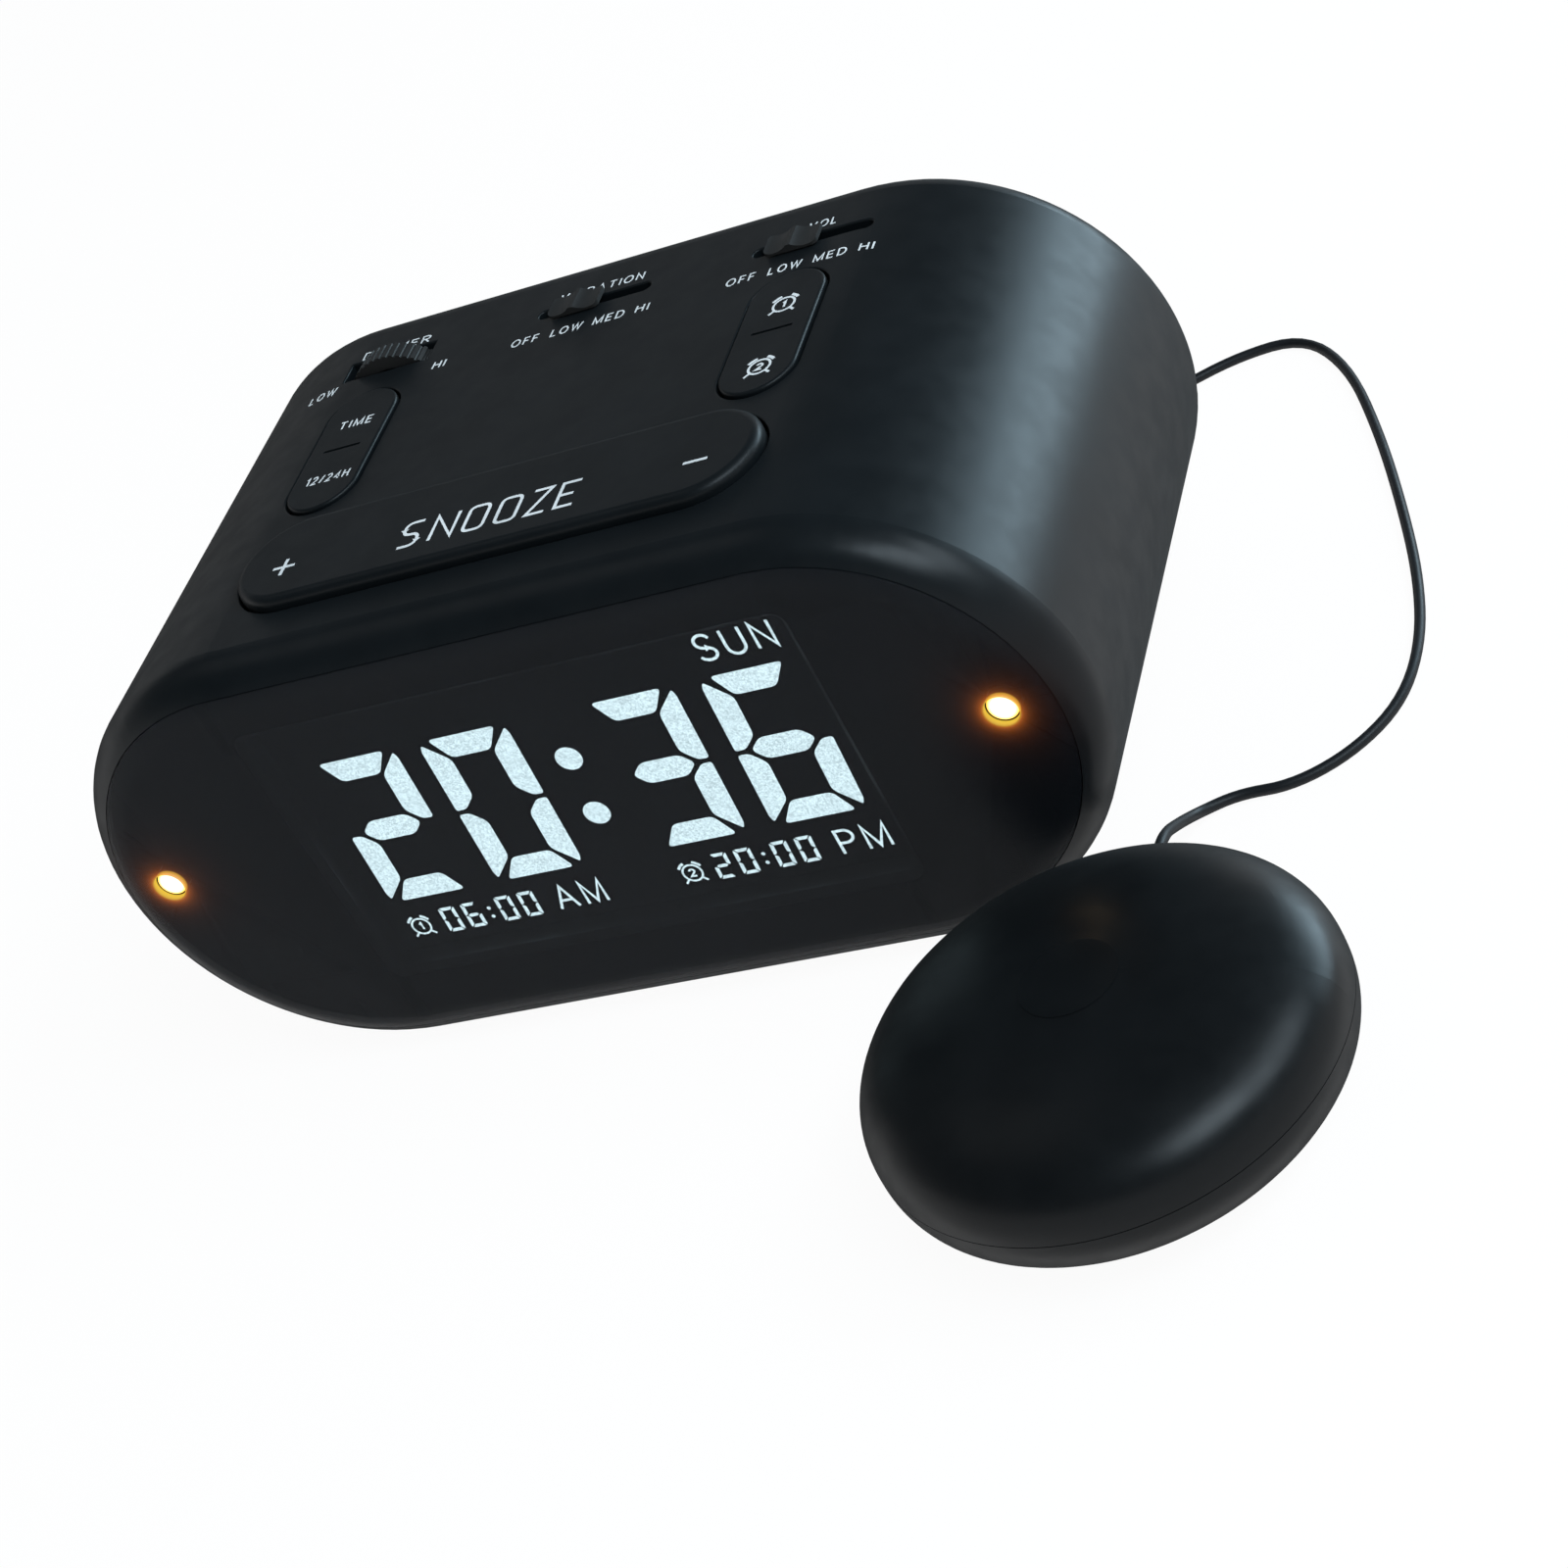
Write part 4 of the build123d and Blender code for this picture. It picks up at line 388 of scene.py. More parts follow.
class Sheet:
    """Flat shapes gathered into one closed mesh a little thicker than a print.

    place(u, v) gives the point on the surface and lift the way out of it."""

    def __init__(self, place, lift, thickness):
        self.place = place
        self.lift = Vector(lift)
        self.thickness = thickness
        self.plies = 0
        self.vertices = []
        self.faces = []

    def patch(self, points, faces):
        """A flat patch given by points in u and v and its faces, closed all round.

        Each patch is a hair thicker than the one before, so that crossing lines differ."""
        start = len(self.vertices)
        count = len(points)
        self.plies = (self.plies + 1) % 5
        height = self.thickness * (1 + self.plies / 20)
        sunk = [self.place(u, v) - self.lift * height / 2 for u, v in points]
        self.vertices += sunk
        self.vertices += [p + self.lift * height for p in sunk]
        edges = {}
        for face in faces:
            self.faces.append([start + i for i in reversed(face)])
            self.faces.append([start + count + i for i in face])
            for a, b in zip(face, face[1:] + face[:1]):
                edges[(a, b)] = edges.get((a, b), 0) + 1
        for a, b in edges:
            if (b, a) not in edges:
                self.faces.append([start + a, start + b, start + count + b, start + count + a])

    def fill(self, outline):
        """A filled outline, given anticlockwise."""
        self.patch(outline, [list(range(len(outline)))])

    def disc(self, u, v, radius, sides=32):
        """A filled circle."""
        angles = [2 * pi * k / sides for k in range(sides)]
        self.fill([(u + radius * cos(a), v + radius * sin(a)) for a in angles])

    def stroke(self, line, width, closed=False):
        """A line of even width through points, with mitred corners."""
        points = [Vector(p) for p in line]
        count = len(points)
        left, right = [], []
        for i, point in enumerate(points):
            before = points[i - 1] if closed or i > 0 else None
            after = points[(i + 1) % count] if closed or i < count - 1 else None
            way_in = (point - before).normalized() if before is not None else None
            way_out = (after - point).normalized() if after is not None else None
            way_in = way_in or way_out
            way_out = way_out or way_in
            along = (way_in + way_out).normalized()
            side = Vector((-along.y, along.x)) * (width / 2 / max(along.dot(way_in), 0.4))
            left.append(point + side)
            right.append(point - side)
        last = count if closed else count - 1
        faces = [
            [i, (i + 1) % count, (i + 1) % count + count, i + count] for i in range(last)
        ]
        self.patch([tuple(p) for p in right + left], faces)

    def ring(self, u, v, radius, width, sides=32):
        """A round ring."""
        angles = [2 * pi * k / sides for k in range(sides)]
        self.stroke([(u + radius * cos(a), v + radius * sin(a)) for a in angles], width, True)

    def words(self, text, left, right, bottom, height, line):
        """Words in plain capitals between two sides, their strokes' outsides on the box."""
        gap_share = 0.28
        shares = [letter_lines[letter][0] for letter in text]
        whole = sum(shares) + gap_share * (len(text) - 1)
        inner = right - left - line * len(text)
        across = inner / whole
        up = height - line
        at = left
        for letter, share in zip(text, shares):
            for shape in letter_lines[letter][1]:
                closed = shape[0] == shape[-1]
                turns = shape[:-1] if closed else shape
                points = [
                    (at + line / 2 + u * share * across, bottom + line / 2 + v * up)
                    for u, v in turns
                ]
                self.stroke(points, line, closed)
            at += (share + gap_share) * across + line

    def build(self, name, body, material):
        """The finished piece, riding on a body."""
        mesh = bpy.data.meshes.new(name)
        mesh.from_pydata(self.vertices, [], self.faces)
        mesh.materials.append(material)
        piece = bpy.data.objects.new(name, mesh)
        bpy.context.scene.collection.objects.link(piece)
        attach(piece, body)
        return piece


def bow(centre, reach, first, last, steps=10):
    """Points of an upright ellipse's arc between two angles in degrees, in shares."""
    angles = [radians(first + (last - first) * k / steps) for k in range(steps + 1)]
    return [(centre[0] + reach[0] * cos(a), centre[1] + reach[1] * sin(a)) for a in angles]


# Plain capitals: width as a share of the height, then lines in shares of the letter's box
round_line = bow((0.5, 0.5), (0.5, 0.5), 0, 360, 24)
round_line[-1] = round_line[0]
letter_lines = {
    "A": (0.74, [[(0, 0), (0.5, 1), (1, 0)], [(0.2, 0.36), (0.8, 0.36)]]),
    "B": (0.56, [
        [(0, 0), (0, 1)] + bow((0.5, 0.76), (0.44, 0.24), 90, -90) + [(0, 0.52)],
        bow((0.5, 0.26), (0.5, 0.26), 90, -90) + [(0, 0)],
    ]),
    "D": (0.64, [[(0, 0), (0, 1)] + bow((0.4, 0.5), (0.6, 0.5), 90, -90) + [(0, 0)]]),
    "E": (0.5, [[(1, 1), (0, 1), (0, 0), (1, 0)], [(0, 0.52), (0.9, 0.52)]]),
    "F": (0.48, [[(1, 1), (0, 1), (0, 0)], [(0, 0.5), (0.88, 0.5)]]),
    "H": (0.62, [[(0, 0), (0, 1)], [(1, 0), (1, 1)], [(0, 0.52), (1, 0.52)]]),
    "I": (0.0, [[(0, 0), (0, 1)]]),
    "L": (0.48, [[(0, 1), (0, 0), (1, 0)]]),
    "M": (0.76, [[(0, 0), (0, 1), (0.5, 0.08), (1, 1), (1, 0)]]),
    "N": (0.62, [[(0, 0), (0, 1), (1, 0), (1, 1)]]),
    "O": (0.78, [round_line]),
    "P": (0.56, [[(0, 0), (0, 1)] + bow((0.5, 0.73), (0.5, 0.27), 90, -90) + [(0, 0.46)]]),
    "R": (0.58, [
        [(0, 0), (0, 1)] + bow((0.5, 0.74), (0.5, 0.26), 90, -90) + [(0, 0.48)],
        [(0.45, 0.48), (1, 0)],
    ]),
    "S": (0.6, [
        bow((0.5, 0.74), (0.46, 0.26), 20, 270) + bow((0.5, 0.24), (0.5, 0.24), 90, -160),
    ]),
    "T": (0.62, [[(0, 1), (1, 1)], [(0.5, 1), (0.5, 0)]]),
    "U": (0.62, [[(0, 1)] + bow((0.5, 0.32), (0.5, 0.32), 180, 360) + [(1, 1)]]),
    "V": (0.72, [[(0, 1), (0.5, 0), (1, 1)]]),
    "W": (1.05, [[(0, 1), (0.26, 0), (0.5, 0.94), (0.74, 0), (1, 1)]]),
    "1": (0.26, [[(0, 0.76), (0.9, 1), (0.9, 0)]]),
    "2": (0.54, [bow((0.5, 0.72), (0.48, 0.28), 165, -25) + [(0, 0), (1, 0)]]),
    "4": (0.58, [[(0.74, 0), (0.74, 1), (0, 0.3), (1, 0.3)]]),
    "/": (0.34, [[(0, 0), (1, 1)]]),
}


def bend_corner(before, corner, after, radius, share, steps):
    """Points of a smooth bend at a corner, within a share of the sides beside it."""
    corner = Vector(corner)
    back = Vector(before) - corner
    ahead = Vector(after) - corner
    reach = min(radius, back.length * share, ahead.length * share)
    start = corner + back.normalized() * reach
    end = corner + ahead.normalized() * reach
    bend = []
    for k in range(steps + 1):
        t = k / steps
        bend.append(tuple(start * (1 - t) ** 2 + corner * 2 * t * (1 - t) + end * t * t))
    return bend


def rounded_line(points, radius, steps=6):
    """A line whose inner corners are rounded."""
    line = [points[0]]
    for before, corner, after in zip(points, points[1:], points[2:]):
        line += bend_corner(before, corner, after, radius, 1 / 2, steps)
    line.append(points[-1])
    return line


def rounded_outline(points, radius, steps=4):
    """A closed outline whose corners are rounded."""
    outline = []
    for before, corner, after in zip(points[-1:] + points, points, points[1:] + points[:1]):
        outline += bend_corner(before, corner, after, radius, 1 / 3, steps)
    return outline


# Display: seven-segment digits on the front of the panel

display_y = panel_low.y
digit_height = 29.75 * MM
digit_width = 16.15 * MM
digit_bottom = 25.98 * MM
digit_slant = 0.046
digit_thickness = 4.19 * MM
digit_gap = 0.5 * MM
digit_tip = 2.6 * MM
digit_corner = 0.95 * MM
colon_dots = [(0.51 * MM, 46.63 * MM), (-0.41 * MM, 35.38 * MM)]
colon_radius = 2.25 * MM
digit_lefts = {"2": -44.27 * MM, "0": -23.72 * MM, "3": 5.72 * MM, "6": 26.37 * MM}
lit_segments = {
    "0": "abcdef",
    "2": "abged",
    "3": "abgcd",
    "6": "afgecd",
}


def display_place(u, v):
    """Point of the display panel's front."""
    return Vector((u, display_y, v))


def segment_outlines(width, height, thickness, gap, tip):
    """Outlines of the seven segments of a digit, by letter, from its lower left corner.

    tip is how far the middle segment's points stand in from the digit's sides."""
    middle = height / 2
    half = thickness / 2
    cut = gap / sqrt(2)
    top = [
        (thickness * 0.38 + cut, height),
        (thickness + cut, height - thickness),
        (width - thickness - cut, height - thickness),
        (width - thickness * 0.38 - cut, height),
    ]
    upper_right = [
        (width - thickness, height - thickness - cut),
        (width - thickness, middle + half * 1.15 + cut),
        (width - thickness * 0.45, middle + gap),
        (width, middle + gap * 0.8),
        (width, height - thickness * 0.38 - cut),
        (width - thickness * 0.1, height - thickness * 0.1 - cut),
    ]
    middle_bar = [
        (tip, middle),
        (tip + half, middle - half),
        (width - tip - half, middle - half),
        (width - tip, middle),
        (width - tip - half, middle + half),
        (tip + half, middle + half),
    ]

    def across(outline):
        return [(width - u, v) for u, v in reversed(outline)]

    def over(outline):
        return [(u, height - v) for u, v in reversed(outline)]

    return {
        "a": top,
        "b": upper_right,
        "c": over(upper_right),
        "d": over(top),
        "e": across(over(upper_right)),
        "f": across(upper_right),
        "g": middle_bar,
    }


def draw_digit(sheet, digit, left, bottom, outlines, radius):
    """The lit segments of a digit, slanted."""
    for letter in lit_segments[digit]:
        slanted = [(left + u + digit_slant * v, bottom + v) for u, v in outlines[letter]]
        sheet.fill(rounded_outline(slanted, radius))


lit_thickness = 0.06 * MM
towards_front = (0, -1, 0)


def display_digits():
    """The time in big digits, with the colon's two dots."""
    sheet = Sheet(display_place, towards_front, lit_thickness)
    outlines = segment_outlines(digit_width, digit_height, digit_thickness, digit_gap, digit_tip)
    for digit, left in digit_lefts.items():
        draw_digit(sheet, digit, left, digit_bottom, outlines, digit_corner)
    for u, v in colon_dots:
        sheet.disc(u, v, colon_radius)
    return sheet.build("display_digits", "clock", display_light)


# Rounding of the case's front edge, and the strip of painted shade in the seam
front_round = 7.75 * MM
shade_strip_width = 0.32 * MM
shade_strip_thickness = 0.14 * MM


def seam_shade_strip():
    """A thin black strip of painted shade in the seam between the case's front rim and the lens.
    """
    radius = (lens_high.z - lens_low.z) / 2 + shade_strip_width / 4
    inset = case_radius - radius
    seam_y = case_low.y + front_round - sqrt(front_round ** 2 - (front_round - inset) ** 2)

    def seam_place(u, v):
        return Vector((u, seam_y, v))

    # Painted shade: a black strip laid along the seam where the gap between case and lens looks
    # dark.
    sheet = Sheet(seam_place, towards_front, shade_strip_thickness)
    right = bow((flat_x, case_mid_z), (radius, radius), 90, -90, 48)
    left = bow((-flat_x, case_mid_z), (radius, radius), 270, 90, 48)
    sheet.stroke(right + left, shade_strip_width, True)
    return sheet.build("seam_shade_strip", "clock", panel_black)


alarm_row_bottom = 17.7 * MM
alarm_row_height = 5.2 * MM
caption_line = 0.5 * MM
small_width = 2.95 * MM
small_thickness = 0.62 * MM
small_gap = 0.12 * MM
small_tip = 0.5 * MM
small_corner = 0.1 * MM
small_dot = 0.34 * MM
lit_icon_ring = 1.65 * MM
lit_icon_line = 0.34 * MM
# Middles of the small digits and of the colon, from the first digit's middle
small_places = [0.0 * MM, 4.25 * MM, 10.65 * MM, 14.95 * MM]
small_colon = 7.5 * MM


def alarm_time(sheet, digits, middle):
    """Small digits with a colon after the second, from the first digit's middle."""
    height = alarm_row_height
    outlines = segment_outlines(small_width, height, small_thickness, small_gap, small_tip)
    for place, digit in zip(small_places, digits):
        left = middle + place - small_width / 2
        draw_digit(sheet, digit, left, alarm_row_bottom, outlines, small_corner)
    for share in (0.29, 0.64):
        dot_u = middle + small_colon + digit_slant * height * share
        sheet.disc(dot_u, alarm_row_bottom + height * share, small_dot, 12)


bell_reach = 1.36


def alarm_icon(sheet, u, v, ring, line, number):
    """A bell alarm clock round a number, from its ring's radius: two bells and two legs."""
    sheet.ring(u, v, ring, line)
    for side in (-1, 1):
        angles = [radians(30 + 5 * k) for k in range(9)]
        bell = [
            (u + side * bell_reach * ring * cos(a), v + bell_reach * ring * sin(a))
            for a in angles
        ]
        sheet.stroke(bell, line * 1.35)
        foot = [
            (u + side * ring * 0.72, v - ring * 0.72),
            (u + side * ring * 1.18, v - ring * 1.18),
        ]
        sheet.stroke(foot, line * 1.1)
    half_width = ring * (0.22 if number == "1" else 0.38)
    number_line = line * 0.95
    sheet.words(
        number, u - half_width, u + half_width, v - ring * 0.52, ring * 1.04, number_line
    )


def display_captions():
    """The day, the two alarm times, their AM and PM, and an icon before each."""
    sheet = Sheet(display_place, towards_front, lit_thickness)
    sheet.words("SUN", 29.95 * MM, 43.1 * MM, 58.4 * MM, 5.2 * MM, caption_line)
    alarm_time(sheet, "0600", -36.0 * MM)
    alarm_time(sheet, "2000", 14.4 * MM)
    height = alarm_row_height - 0.1 * MM
    sheet.words("AM", -16.3 * MM, -7.1 * MM, alarm_row_bottom, height, caption_line)
    sheet.words("PM", 34.7 * MM, 43.4 * MM, alarm_row_bottom, height, caption_line)
    icon_v = alarm_row_bottom + alarm_row_height * 0.45
    alarm_icon(sheet, -41.9 * MM, icon_v, lit_icon_ring, lit_icon_line, "1")
    alarm_icon(sheet, 8.99 * MM, icon_v, lit_icon_ring, lit_icon_line, "2")
    return sheet.build("display_captions", "clock", display_light)


display_digits()
display_captions()
seam_shade_strip()

# Legends printed on the top and on the keys

print_thickness = 0.04 * MM
upwards = (0, 0, 1)
caption_height = 2.25 * MM
print_line = 0.3 * MM
knob_rest = 3.1 * MM


def top_place(u, v):
    """Point of the case's top, which curves down past its flat."""
    past = max(abs(u) - flat_x, 0)
    return Vector((u, v, case_mid_z + sqrt(case_radius**2 - past**2)))


def level_place(z):
    """Points of a level surface at a height."""
    return lambda u, v: Vector((u, v, z))


def caption(sheet, words, middle_u, middle_v, width):
    """Small words centred at a place."""
    left = middle_u - width / 2
    bottom = middle_v - caption_height / 2
    sheet.words(words, left, left + width, bottom, caption_height, print_line)


def top_legends():
    """Names and marks beside the dimmer wheel and the two slide switches."""
    sheet = Sheet(top_place, upwards, print_thickness)
    title_y = 38.2 * MM
    marks_y = 27.4 * MM
    vibration_x = (vibration_low.x + vibration_high.x) / 2 + knob_rest
    volume_x = (volume_low.x + volume_high.x) / 2 + knob_rest
    dimmer_x = (wheel_low.x + wheel_high.x) / 2
    caption(sheet, "VIBRATION", vibration_x + 0.4 * MM, title_y, 16.2 * MM)
    caption(sheet, "VOL", volume_x + 1.1 * MM, title_y, 5.2 * MM)
    caption(sheet, "DIMMER", dimmer_x, title_y - 0.5 * MM, 13.6 * MM)
    marks = [("OFF", -11.1, 5.3), ("LOW", -3.1, 6.0), ("MED", 4.9, 5.9), ("HI", 11.2, 2.5)]
    for slot_x in (vibration_x, volume_x):
        for words, shift, width in marks:
            caption(sheet, words, slot_x + shift * MM, marks_y, width * MM)
    caption(sheet, "LOW", dimmer_x - 12.2 * MM, marks_y + 1.5 * MM, 6.0 * MM)
    caption(sheet, "HI", dimmer_x + 12.0 * MM, marks_y + 0.4 * MM, 2.5 * MM)
    return sheet.build("top_legends", "clock", print_white)


snooze_cap = 6.7 * MM
snooze_line = 0.6 * MM
snooze_shift = 1.0 * MM
snooze_text_y = -26.4 * MM
sign_u = 36.8 * MM
sign_arm = 2.05 * MM
sign_line = 0.62 * MM
# Letters' left and right sides from the middle of the word
snooze_letters = {
    "S": (-15.9, -12.2),
    "N": (-10.2, -5.7),
    "O": (-4.2, -0.1),
    "o": (1.5, 5.6),
    "Z": (7.1, 10.9),
    "E": (12.2, 15.9),
}


def snooze_legends():
    """SNOOZE between a plus and a minus, in the key's own thin letters."""
    sheet = Sheet(level_place(bar_high.z), upwards, print_thickness)
    low = snooze_text_y - snooze_cap / 2 + snooze_line / 2
    high = snooze_text_y + snooze_cap / 2 - snooze_line / 2
    middle = (low + high) / 2
    bend = 1.9 * MM
    for letter, (left, right) in snooze_letters.items():
        left = left * MM + snooze_line / 2 + snooze_shift
        right = right * MM - snooze_line / 2 + snooze_shift
        if letter == "S":
            line = [(right, high), (left, high), (left, middle)]
            line += [(right, middle), (right, low), (left, low)]
            sheet.stroke(rounded_line(line, bend), snooze_line)
        elif letter == "N":
            sheet.stroke([(left, low), (left, high), (right, low), (right, high)], snooze_line)
        elif letter in "Oo":
            corners = [(left, low), (right, low), (right, high), (left, high)]
            sheet.stroke(rounded_outline(corners, bend, 8), snooze_line, True)
        elif letter == "Z":
            sheet.stroke([(left, high), (right, high), (left, low), (right, low)], snooze_line)
        else:
            sheet.stroke([(right, high), (left, high), (left, low), (right, low)], snooze_line)
            sheet.stroke([(left, middle), (right - snooze_line, middle)], snooze_line)
    for u in (-sign_u, sign_u):
        sheet.stroke([(u - sign_arm, snooze_text_y), (u + sign_arm, snooze_text_y)], sign_line)
        if u < 0:
            sheet.stroke([(u, snooze_text_y - sign_arm), (u, snooze_text_y + sign_arm)], sign_line)
    return sheet.build("snooze_legends", "snooze_key", print_white)


def time_legends():
    """The time key's two names."""
    sheet = Sheet(level_place(time_high.z), upwards, print_thickness)
    centre_x = (time_low.x + time_high.x) / 2
    centre_y = (time_low.y + time_high.y) / 2
    caption(sheet, "TIME", centre_x + 0.2 * MM, centre_y + 7.0 * MM, 6.7 * MM)
    caption(sheet, "12/24H", centre_x + 0.4 * MM, centre_y - 8.3 * MM, 8.5 * MM)
    return sheet.build("time_legends", "time_key", print_white)


print_icon_ring = 1.85 * MM
print_icon_line = 0.42 * MM


def alarm_legends():
    """The alarm key's two numbered icons."""
    sheet = Sheet(level_place(alarm_high.z), upwards, print_thickness)
    centre_x = (alarm_low.x + alarm_high.x) / 2
    centre_y = (alarm_low.y + alarm_high.y) / 2
    icon_x = centre_x + 0.45 * MM
    alarm_icon(sheet, icon_x, centre_y + 6.7 * MM, print_icon_ring, print_icon_line, "1")
    alarm_icon(sheet, icon_x, centre_y - 10.1 * MM, print_icon_ring, print_icon_line, "2")
    return sheet.build("alarm_legends", "alarm_key", print_white)


top_legends()
snooze_legends()
time_legends()
alarm_legends()

# Cord: one limp line from the pad's gland round the clock, coiled behind it, to the jack

cord_diameter = 1.8 * MM
coil_x = 20.0 * MM
coil_y = 83.0 * MM
coil_z = 1.9 * MM
coil_layers = 4
coil_turns_in_layer = 5.5
coil_spacing = 2.35 * MM
coil_outer_radius = 17.2625 * MM
coil_climb_turns = 0.5
coil_points_in_turn = 24
jack_x = -45.0 * MM
jack_z = 18.5 * MM
plug_end_y = 73.05 * MM


def coil_point(turn):
    """Centre of the coiled cord after a number of turns from its outer, lower end."""
    reversal = round(turn / coil_turns_in_layer)
    layer = min(int(turn // coil_turns_in_layer), coil_layers - 1)
    in_layer = turn - layer * coil_turns_in_layer
    if layer % 2 == 1:
        in_layer = coil_turns_in_layer - in_layer
    radius = coil_outer_radius - coil_spacing * in_layer
    level = layer
    from_reversal = turn - reversal * coil_turns_in_layer
    if 0 < reversal < coil_layers and abs(from_reversal) < coil_climb_turns / 2:
        share = from_reversal / coil_climb_turns + 1 / 2
        level = reversal - 1 + share * share * (3 - 2 * share)
    angle = pi / 2 + 2 * pi * turn
    return Vector(
        (
            coil_x + radius * cos(angle),
            coil_y + radius * sin(angle),
            coil_z + level * coil_spacing,
        )
    )


def cord_points():
    """Control points of the cord's line, from the gland to the plug."""
    turns = coil_layers * coil_turns_in_layer
    step = 1 / coil_points_in_turn
    into_coil = (coil_point(step) - coil_point(0)).normalized()
    out_of_coil = (coil_point(turns) - coil_point(turns - step)).normalized()
    front_route = [
        (84.3, -47.7, 10.5), (84.3, -42.6, 10.5), (84.2, -35.2, 6.1), (84.9, -28.4, 1.9),
        (90.6, -24.6, 0.9), (99.4, -25.0, 0.9), (108.6, -19.6, 0.9), (115.2, -10.0, 0.9),
        (116.9, 4.0, 0.9), (114.9, 21.0, 0.9), (110.6, 40.0, 0.9), (104.6, 62.5, 0.9),
        (96.6, 86.2, 0.9), (86.6, 99.9, 0.9), (73.6, 98.8, 0.9), (61.5, 92.2, 0.9),
        (50.5, 92.6, 1.1), (39.0, 98.0, 1.6),
    ]
    rear_route = [
        (2.0, 99.4, 3.6), (-8.0, 98.8, 1.0), (-20.5, 99.6, 0.9), (-32.0, 99.4, 0.9),
        (-41.5, 96.6, 0.9), (-45.3, 90.6, 2.6), (-45.1, 84.8, 10.2),
    ]
    points = [Vector(p) * MM for p in front_route]
    points.append(coil_point(0) - into_coil * 6 * cord_diameter)
    points.append(coil_point(0) - into_coil * cord_diameter)
    points += [coil_point(k * step) for k in range(int(turns * coil_points_in_turn) + 1)]
    points.append(coil_point(turns) + out_of_coil * cord_diameter)
    points.append(coil_point(turns) + out_of_coil * 5 * cord_diameter)
    points += [Vector(p) * MM for p in rear_route]
    points.append(Vector((jack_x, plug_end_y + 4 * cord_diameter, jack_z)))
    points.append(Vector((jack_x, plug_end_y, jack_z)))
    return points


def pad_cord():
    """The cord as one smooth line with a round section."""
    points = cord_points()
    curve = bpy.data.curves.new("pad_cord", "CURVE")
    curve.dimensions = "3D"
    spline = curve.splines.new("NURBS")
    spline.points.add(len(points) - 1)
    for target, point in zip(spline.points, points):
        target.co = (*point, 1)
    spline.order_u = 3
    spline.use_endpoint_u = True
    spline.resolution_u = 6
    curve.bevel_depth = cord_diameter / 2
    curve.bevel_resolution = 3
    curve.use_fill_caps = True
    curve.materials.append(cord_rubber)
    cord = bpy.data.objects.new("pad_cord", curve)
    bpy.context.scene.collection.objects.link(cord)
    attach(cord, "clock")
    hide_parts("cord_front", "cord_coil", "cord_rear")
    return cord


tie_thickness = 0.55 * MM
tie_bend = 1.6 * MM
tie_crown = 0.08 * MM


def coil_tie():
    """A soft tape sewn into a band round the coil's turns, a little crowned across."""
    low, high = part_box("cord_tie")
    thickness = tie_thickness
    half_width = (high.x - low.x) / 2 - 0.1 * MM
    centre = (low + high) / 2
    half_depth = (high.y - low.y) / 2 - thickness
    half_height = (high.z - low.z) / 2 - thickness
    corners = [(-1, 1, 180), (1, 1, 90), (1, -1, 0), (-1, -1, -90)]
    loop = []
    for side_y, side_z, start in corners:
        middle = (side_y * (half_depth - tie_bend), side_z * (half_height - tie_bend))
        loop += bow(middle, (tie_bend, tie_bend), start, start - 90, 6)
    shape = bmesh.new()
    columns = 9
    rows = []
    for y, z in loop:
        row = []
        for c in range(columns):
            across = -half_width + 2 * half_width * c / (columns - 1)
            out = Vector((0, y, z)).normalized() * (tie_crown * (1 - (across / half_width) ** 2))
            row.append(shape.verts.new(centre + Vector((across, y, z)) + out))
        rows.append(row)
    for row, next_row in zip(rows, rows[1:] + rows[:1]):
        for c in range(columns - 1):
            shape.faces.new((row[c], row[c + 1], next_row[c + 1], next_row[c]))
    bmesh.ops.recalc_face_normals(shape, faces=shape.faces)
    mesh = bpy.data.meshes.new("coil_tie")
    shape.to_mesh(mesh)
    shape.free()
    mesh.materials.append(tie_tape)
    tie = bpy.data.objects.new("coil_tie", mesh)
    bpy.context.scene.collection.objects.link(tie)
    solid = tie.modifiers.new("thickness", "SOLIDIFY")
    solid.thickness = thickness
    solid.offset = 0
    for polygon in mesh.polygons:
        polygon.use_smooth = True
    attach(tie, "clock")
    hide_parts("cord_tie")
    return tie


cord = pad_cord()
tie = coil_tie()

# Floor, light and camera

floor_half = 3.0
floor_drop = 0.02 * MM
kept_white = 0.95


def seen_rays(tree):
    """One for camera, glossy and transmission rays, zero for others."""
    path = tree.nodes.new("ShaderNodeLightPath")
    total = path.outputs["Is Camera Ray"]
    for kind in ("Is Glossy Ray", "Is Transmission Ray"):
        total = reckon(tree, "MAXIMUM", total, path.outputs[kind])
    return total


def white_floor():
    """White floor, kept white for the camera, with a faint trace of the object's shadow."""
    mesh = bpy.data.meshes.new("floor")
    corners = [(-1, -1), (1, -1), (1, 1), (-1, 1)]
    points = [(x * floor_half, y * floor_half, -floor_drop) for x, y in corners]
    mesh.from_pydata(points, [], [(0, 1, 2, 3)])
    floor = bpy.data.objects.new("floor", mesh)
    bpy.context.scene.collection.objects.link(floor)
    material = bpy.data.materials.new("floor_white")
    material.use_nodes = True
    tree = material.node_tree
    tree.nodes.clear()
    output = tree.nodes.new("ShaderNodeOutputMaterial")
    plain = tree.nodes.new("ShaderNodeBsdfDiffuse")
    plain.inputs["Color"].default_value = (0.82, 0.82, 0.82, 1)
    bright = tree.nodes.new("ShaderNodeEmission")
    bright.inputs["Strength"].default_value = 1.0
    mix = tree.nodes.new("ShaderNodeMixShader")
    tree.links.new(reckon(tree, "MULTIPLY", seen_rays(tree), kept_white), mix.inputs["Fac"])
    tree.links.new(plain.outputs["BSDF"], mix.inputs[1])
    tree.links.new(bright.outputs["Emission"], mix.inputs[2])
    tree.links.new(mix.outputs["Shader"], output.inputs["Surface"])
    mesh.materials.append(material)


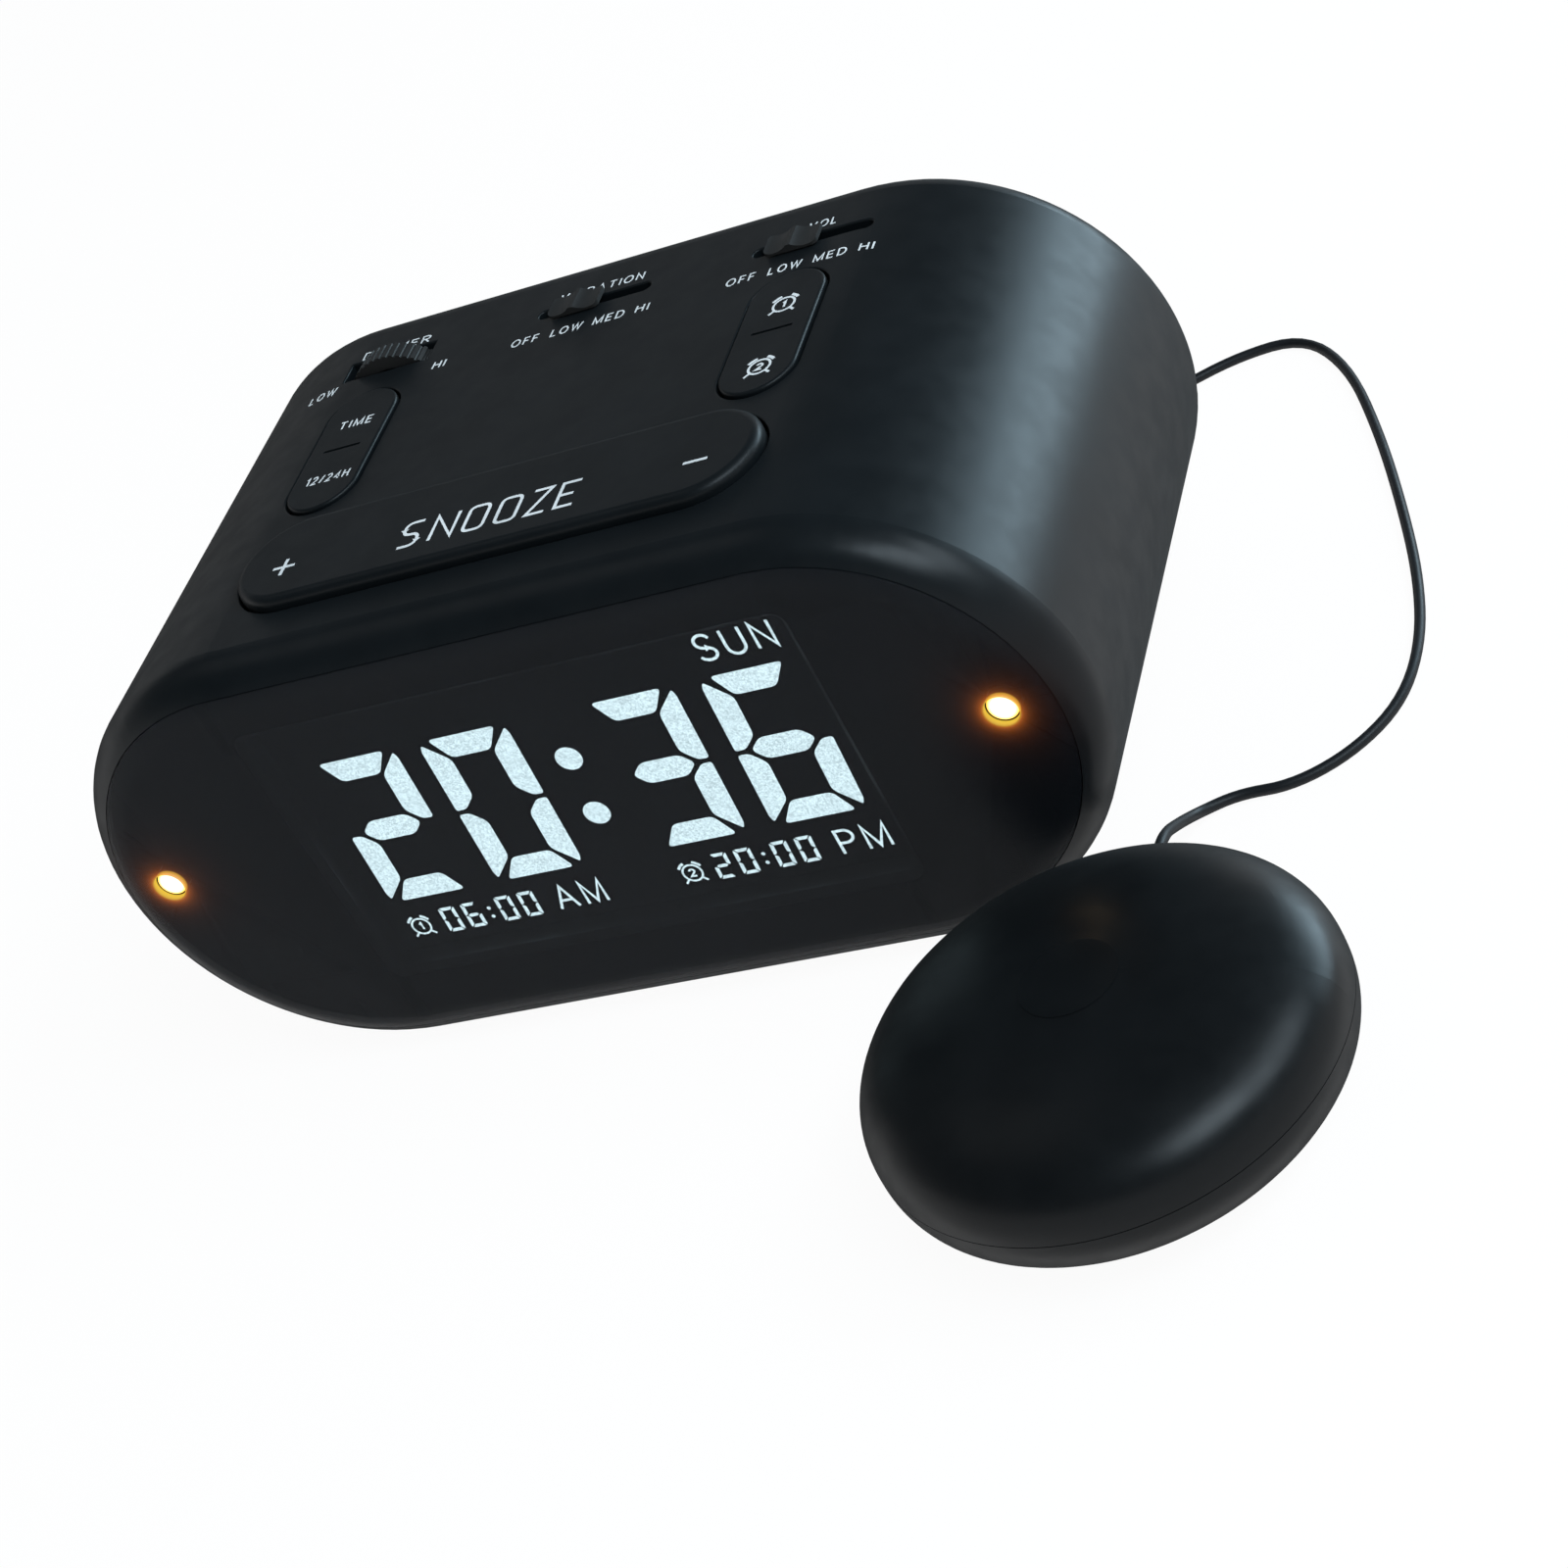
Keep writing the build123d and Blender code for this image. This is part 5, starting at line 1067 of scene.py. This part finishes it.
def studio_world():
    """A white backdrop that darkens high overhead, over an even pale ambient."""
    world = bpy.data.worlds.new("studio")
    bpy.context.scene.world = world
    world.use_nodes = True
    tree = world.node_tree
    tree.nodes.clear()
    output = tree.nodes.new("ShaderNodeOutputWorld")
    place = tree.nodes.new("ShaderNodeTexCoord")
    parts = tree.nodes.new("ShaderNodeSeparateXYZ")
    tree.links.new(place.outputs["Generated"], parts.inputs["Vector"])
    overhead = (0.07, 0.078, 0.085)
    ramp = two_tone_ramp(tree, parts.outputs["Z"], 0.06, (1.0, 1.0, 1.0), 0.42, overhead)
    ramp.color_ramp.interpolation = "EASE"
    backdrop = tree.nodes.new("ShaderNodeBackground")
    tree.links.new(ramp.outputs["Color"], backdrop.inputs["Color"])
    ambient = tree.nodes.new("ShaderNodeBackground")
    ambient.inputs["Color"].default_value = (0.97, 0.99, 1.0, 1)
    ambient.inputs["Strength"].default_value = 0.42
    mix = tree.nodes.new("ShaderNodeMixShader")
    tree.links.new(seen_rays(tree), mix.inputs["Fac"])
    tree.links.new(ambient.outputs["Background"], mix.inputs[1])
    tree.links.new(backdrop.outputs["Background"], mix.inputs[2])
    tree.links.new(mix.outputs["Shader"], output.inputs["Surface"])


def softbox(name, azimuth, elevation, distance, width, height, radiance, colour):
    """An area light seen in a direction from the object; azimuth runs from +Y towards +X."""
    data = bpy.data.lights.new(name, "AREA")
    data.shape = "RECTANGLE"
    data.size = width
    data.size_y = height
    data.energy = radiance * pi * width * height
    data.color = colour
    lamp = bpy.data.objects.new(name, data)
    bpy.context.scene.collection.objects.link(lamp)
    level = cos(radians(elevation))
    way = Vector(
        (sin(radians(azimuth)) * level, cos(radians(azimuth)) * level, sin(radians(elevation)))
    )
    aim = Vector((0.02, 0, 0.04))
    lamp.location = aim + way * distance
    lamp.rotation_euler = way.to_track_quat("Z", "Y").to_euler()


# Degrees: azimuth from the front towards the right end, elevation, and roll about the view
camera_azimuth = 31.54268
camera_elevation = 32.83632
camera_roll = -30.12999
camera_place = Vector((255.68, -406.74, 309.82)) * MM
camera_lens = 77.405


def studio_camera():
    """Camera at the photograph's place."""
    data = bpy.data.cameras.new("camera")
    data.sensor_width = 36
    data.lens = camera_lens
    data.clip_start = 0.01
    camera = bpy.data.objects.new("camera", data)
    bpy.context.scene.collection.objects.link(camera)
    turn = Matrix.Rotation(radians(camera_azimuth), 4, "Z")
    tilt = Matrix.Rotation(radians(90 - camera_elevation), 4, "X")
    roll = Matrix.Rotation(radians(camera_roll), 4, "Z")
    camera.matrix_world = Matrix.Translation(camera_place) @ turn @ tilt @ roll
    bpy.context.scene.camera = camera


white_floor()
studio_world()
softbox("rear_right_box", 31, 9, 1.5, 0.95, 0.48, 9.5, (0.6, 0.85, 1.0))
softbox("right_box", 80, 40, 1.5, 0.9, 0.45, 9.0, (0.75, 0.9, 1.0))
softbox("front_right_box", 124, 48, 1.4, 0.75, 0.5, 12.0, (0.75, 0.9, 1.0))
softbox("top_fill", -80, 62, 1.6, 0.7, 0.7, 0.5, (1.0, 1.0, 1.0))
studio_camera()

bpy.context.scene.view_settings.view_transform = "Standard"
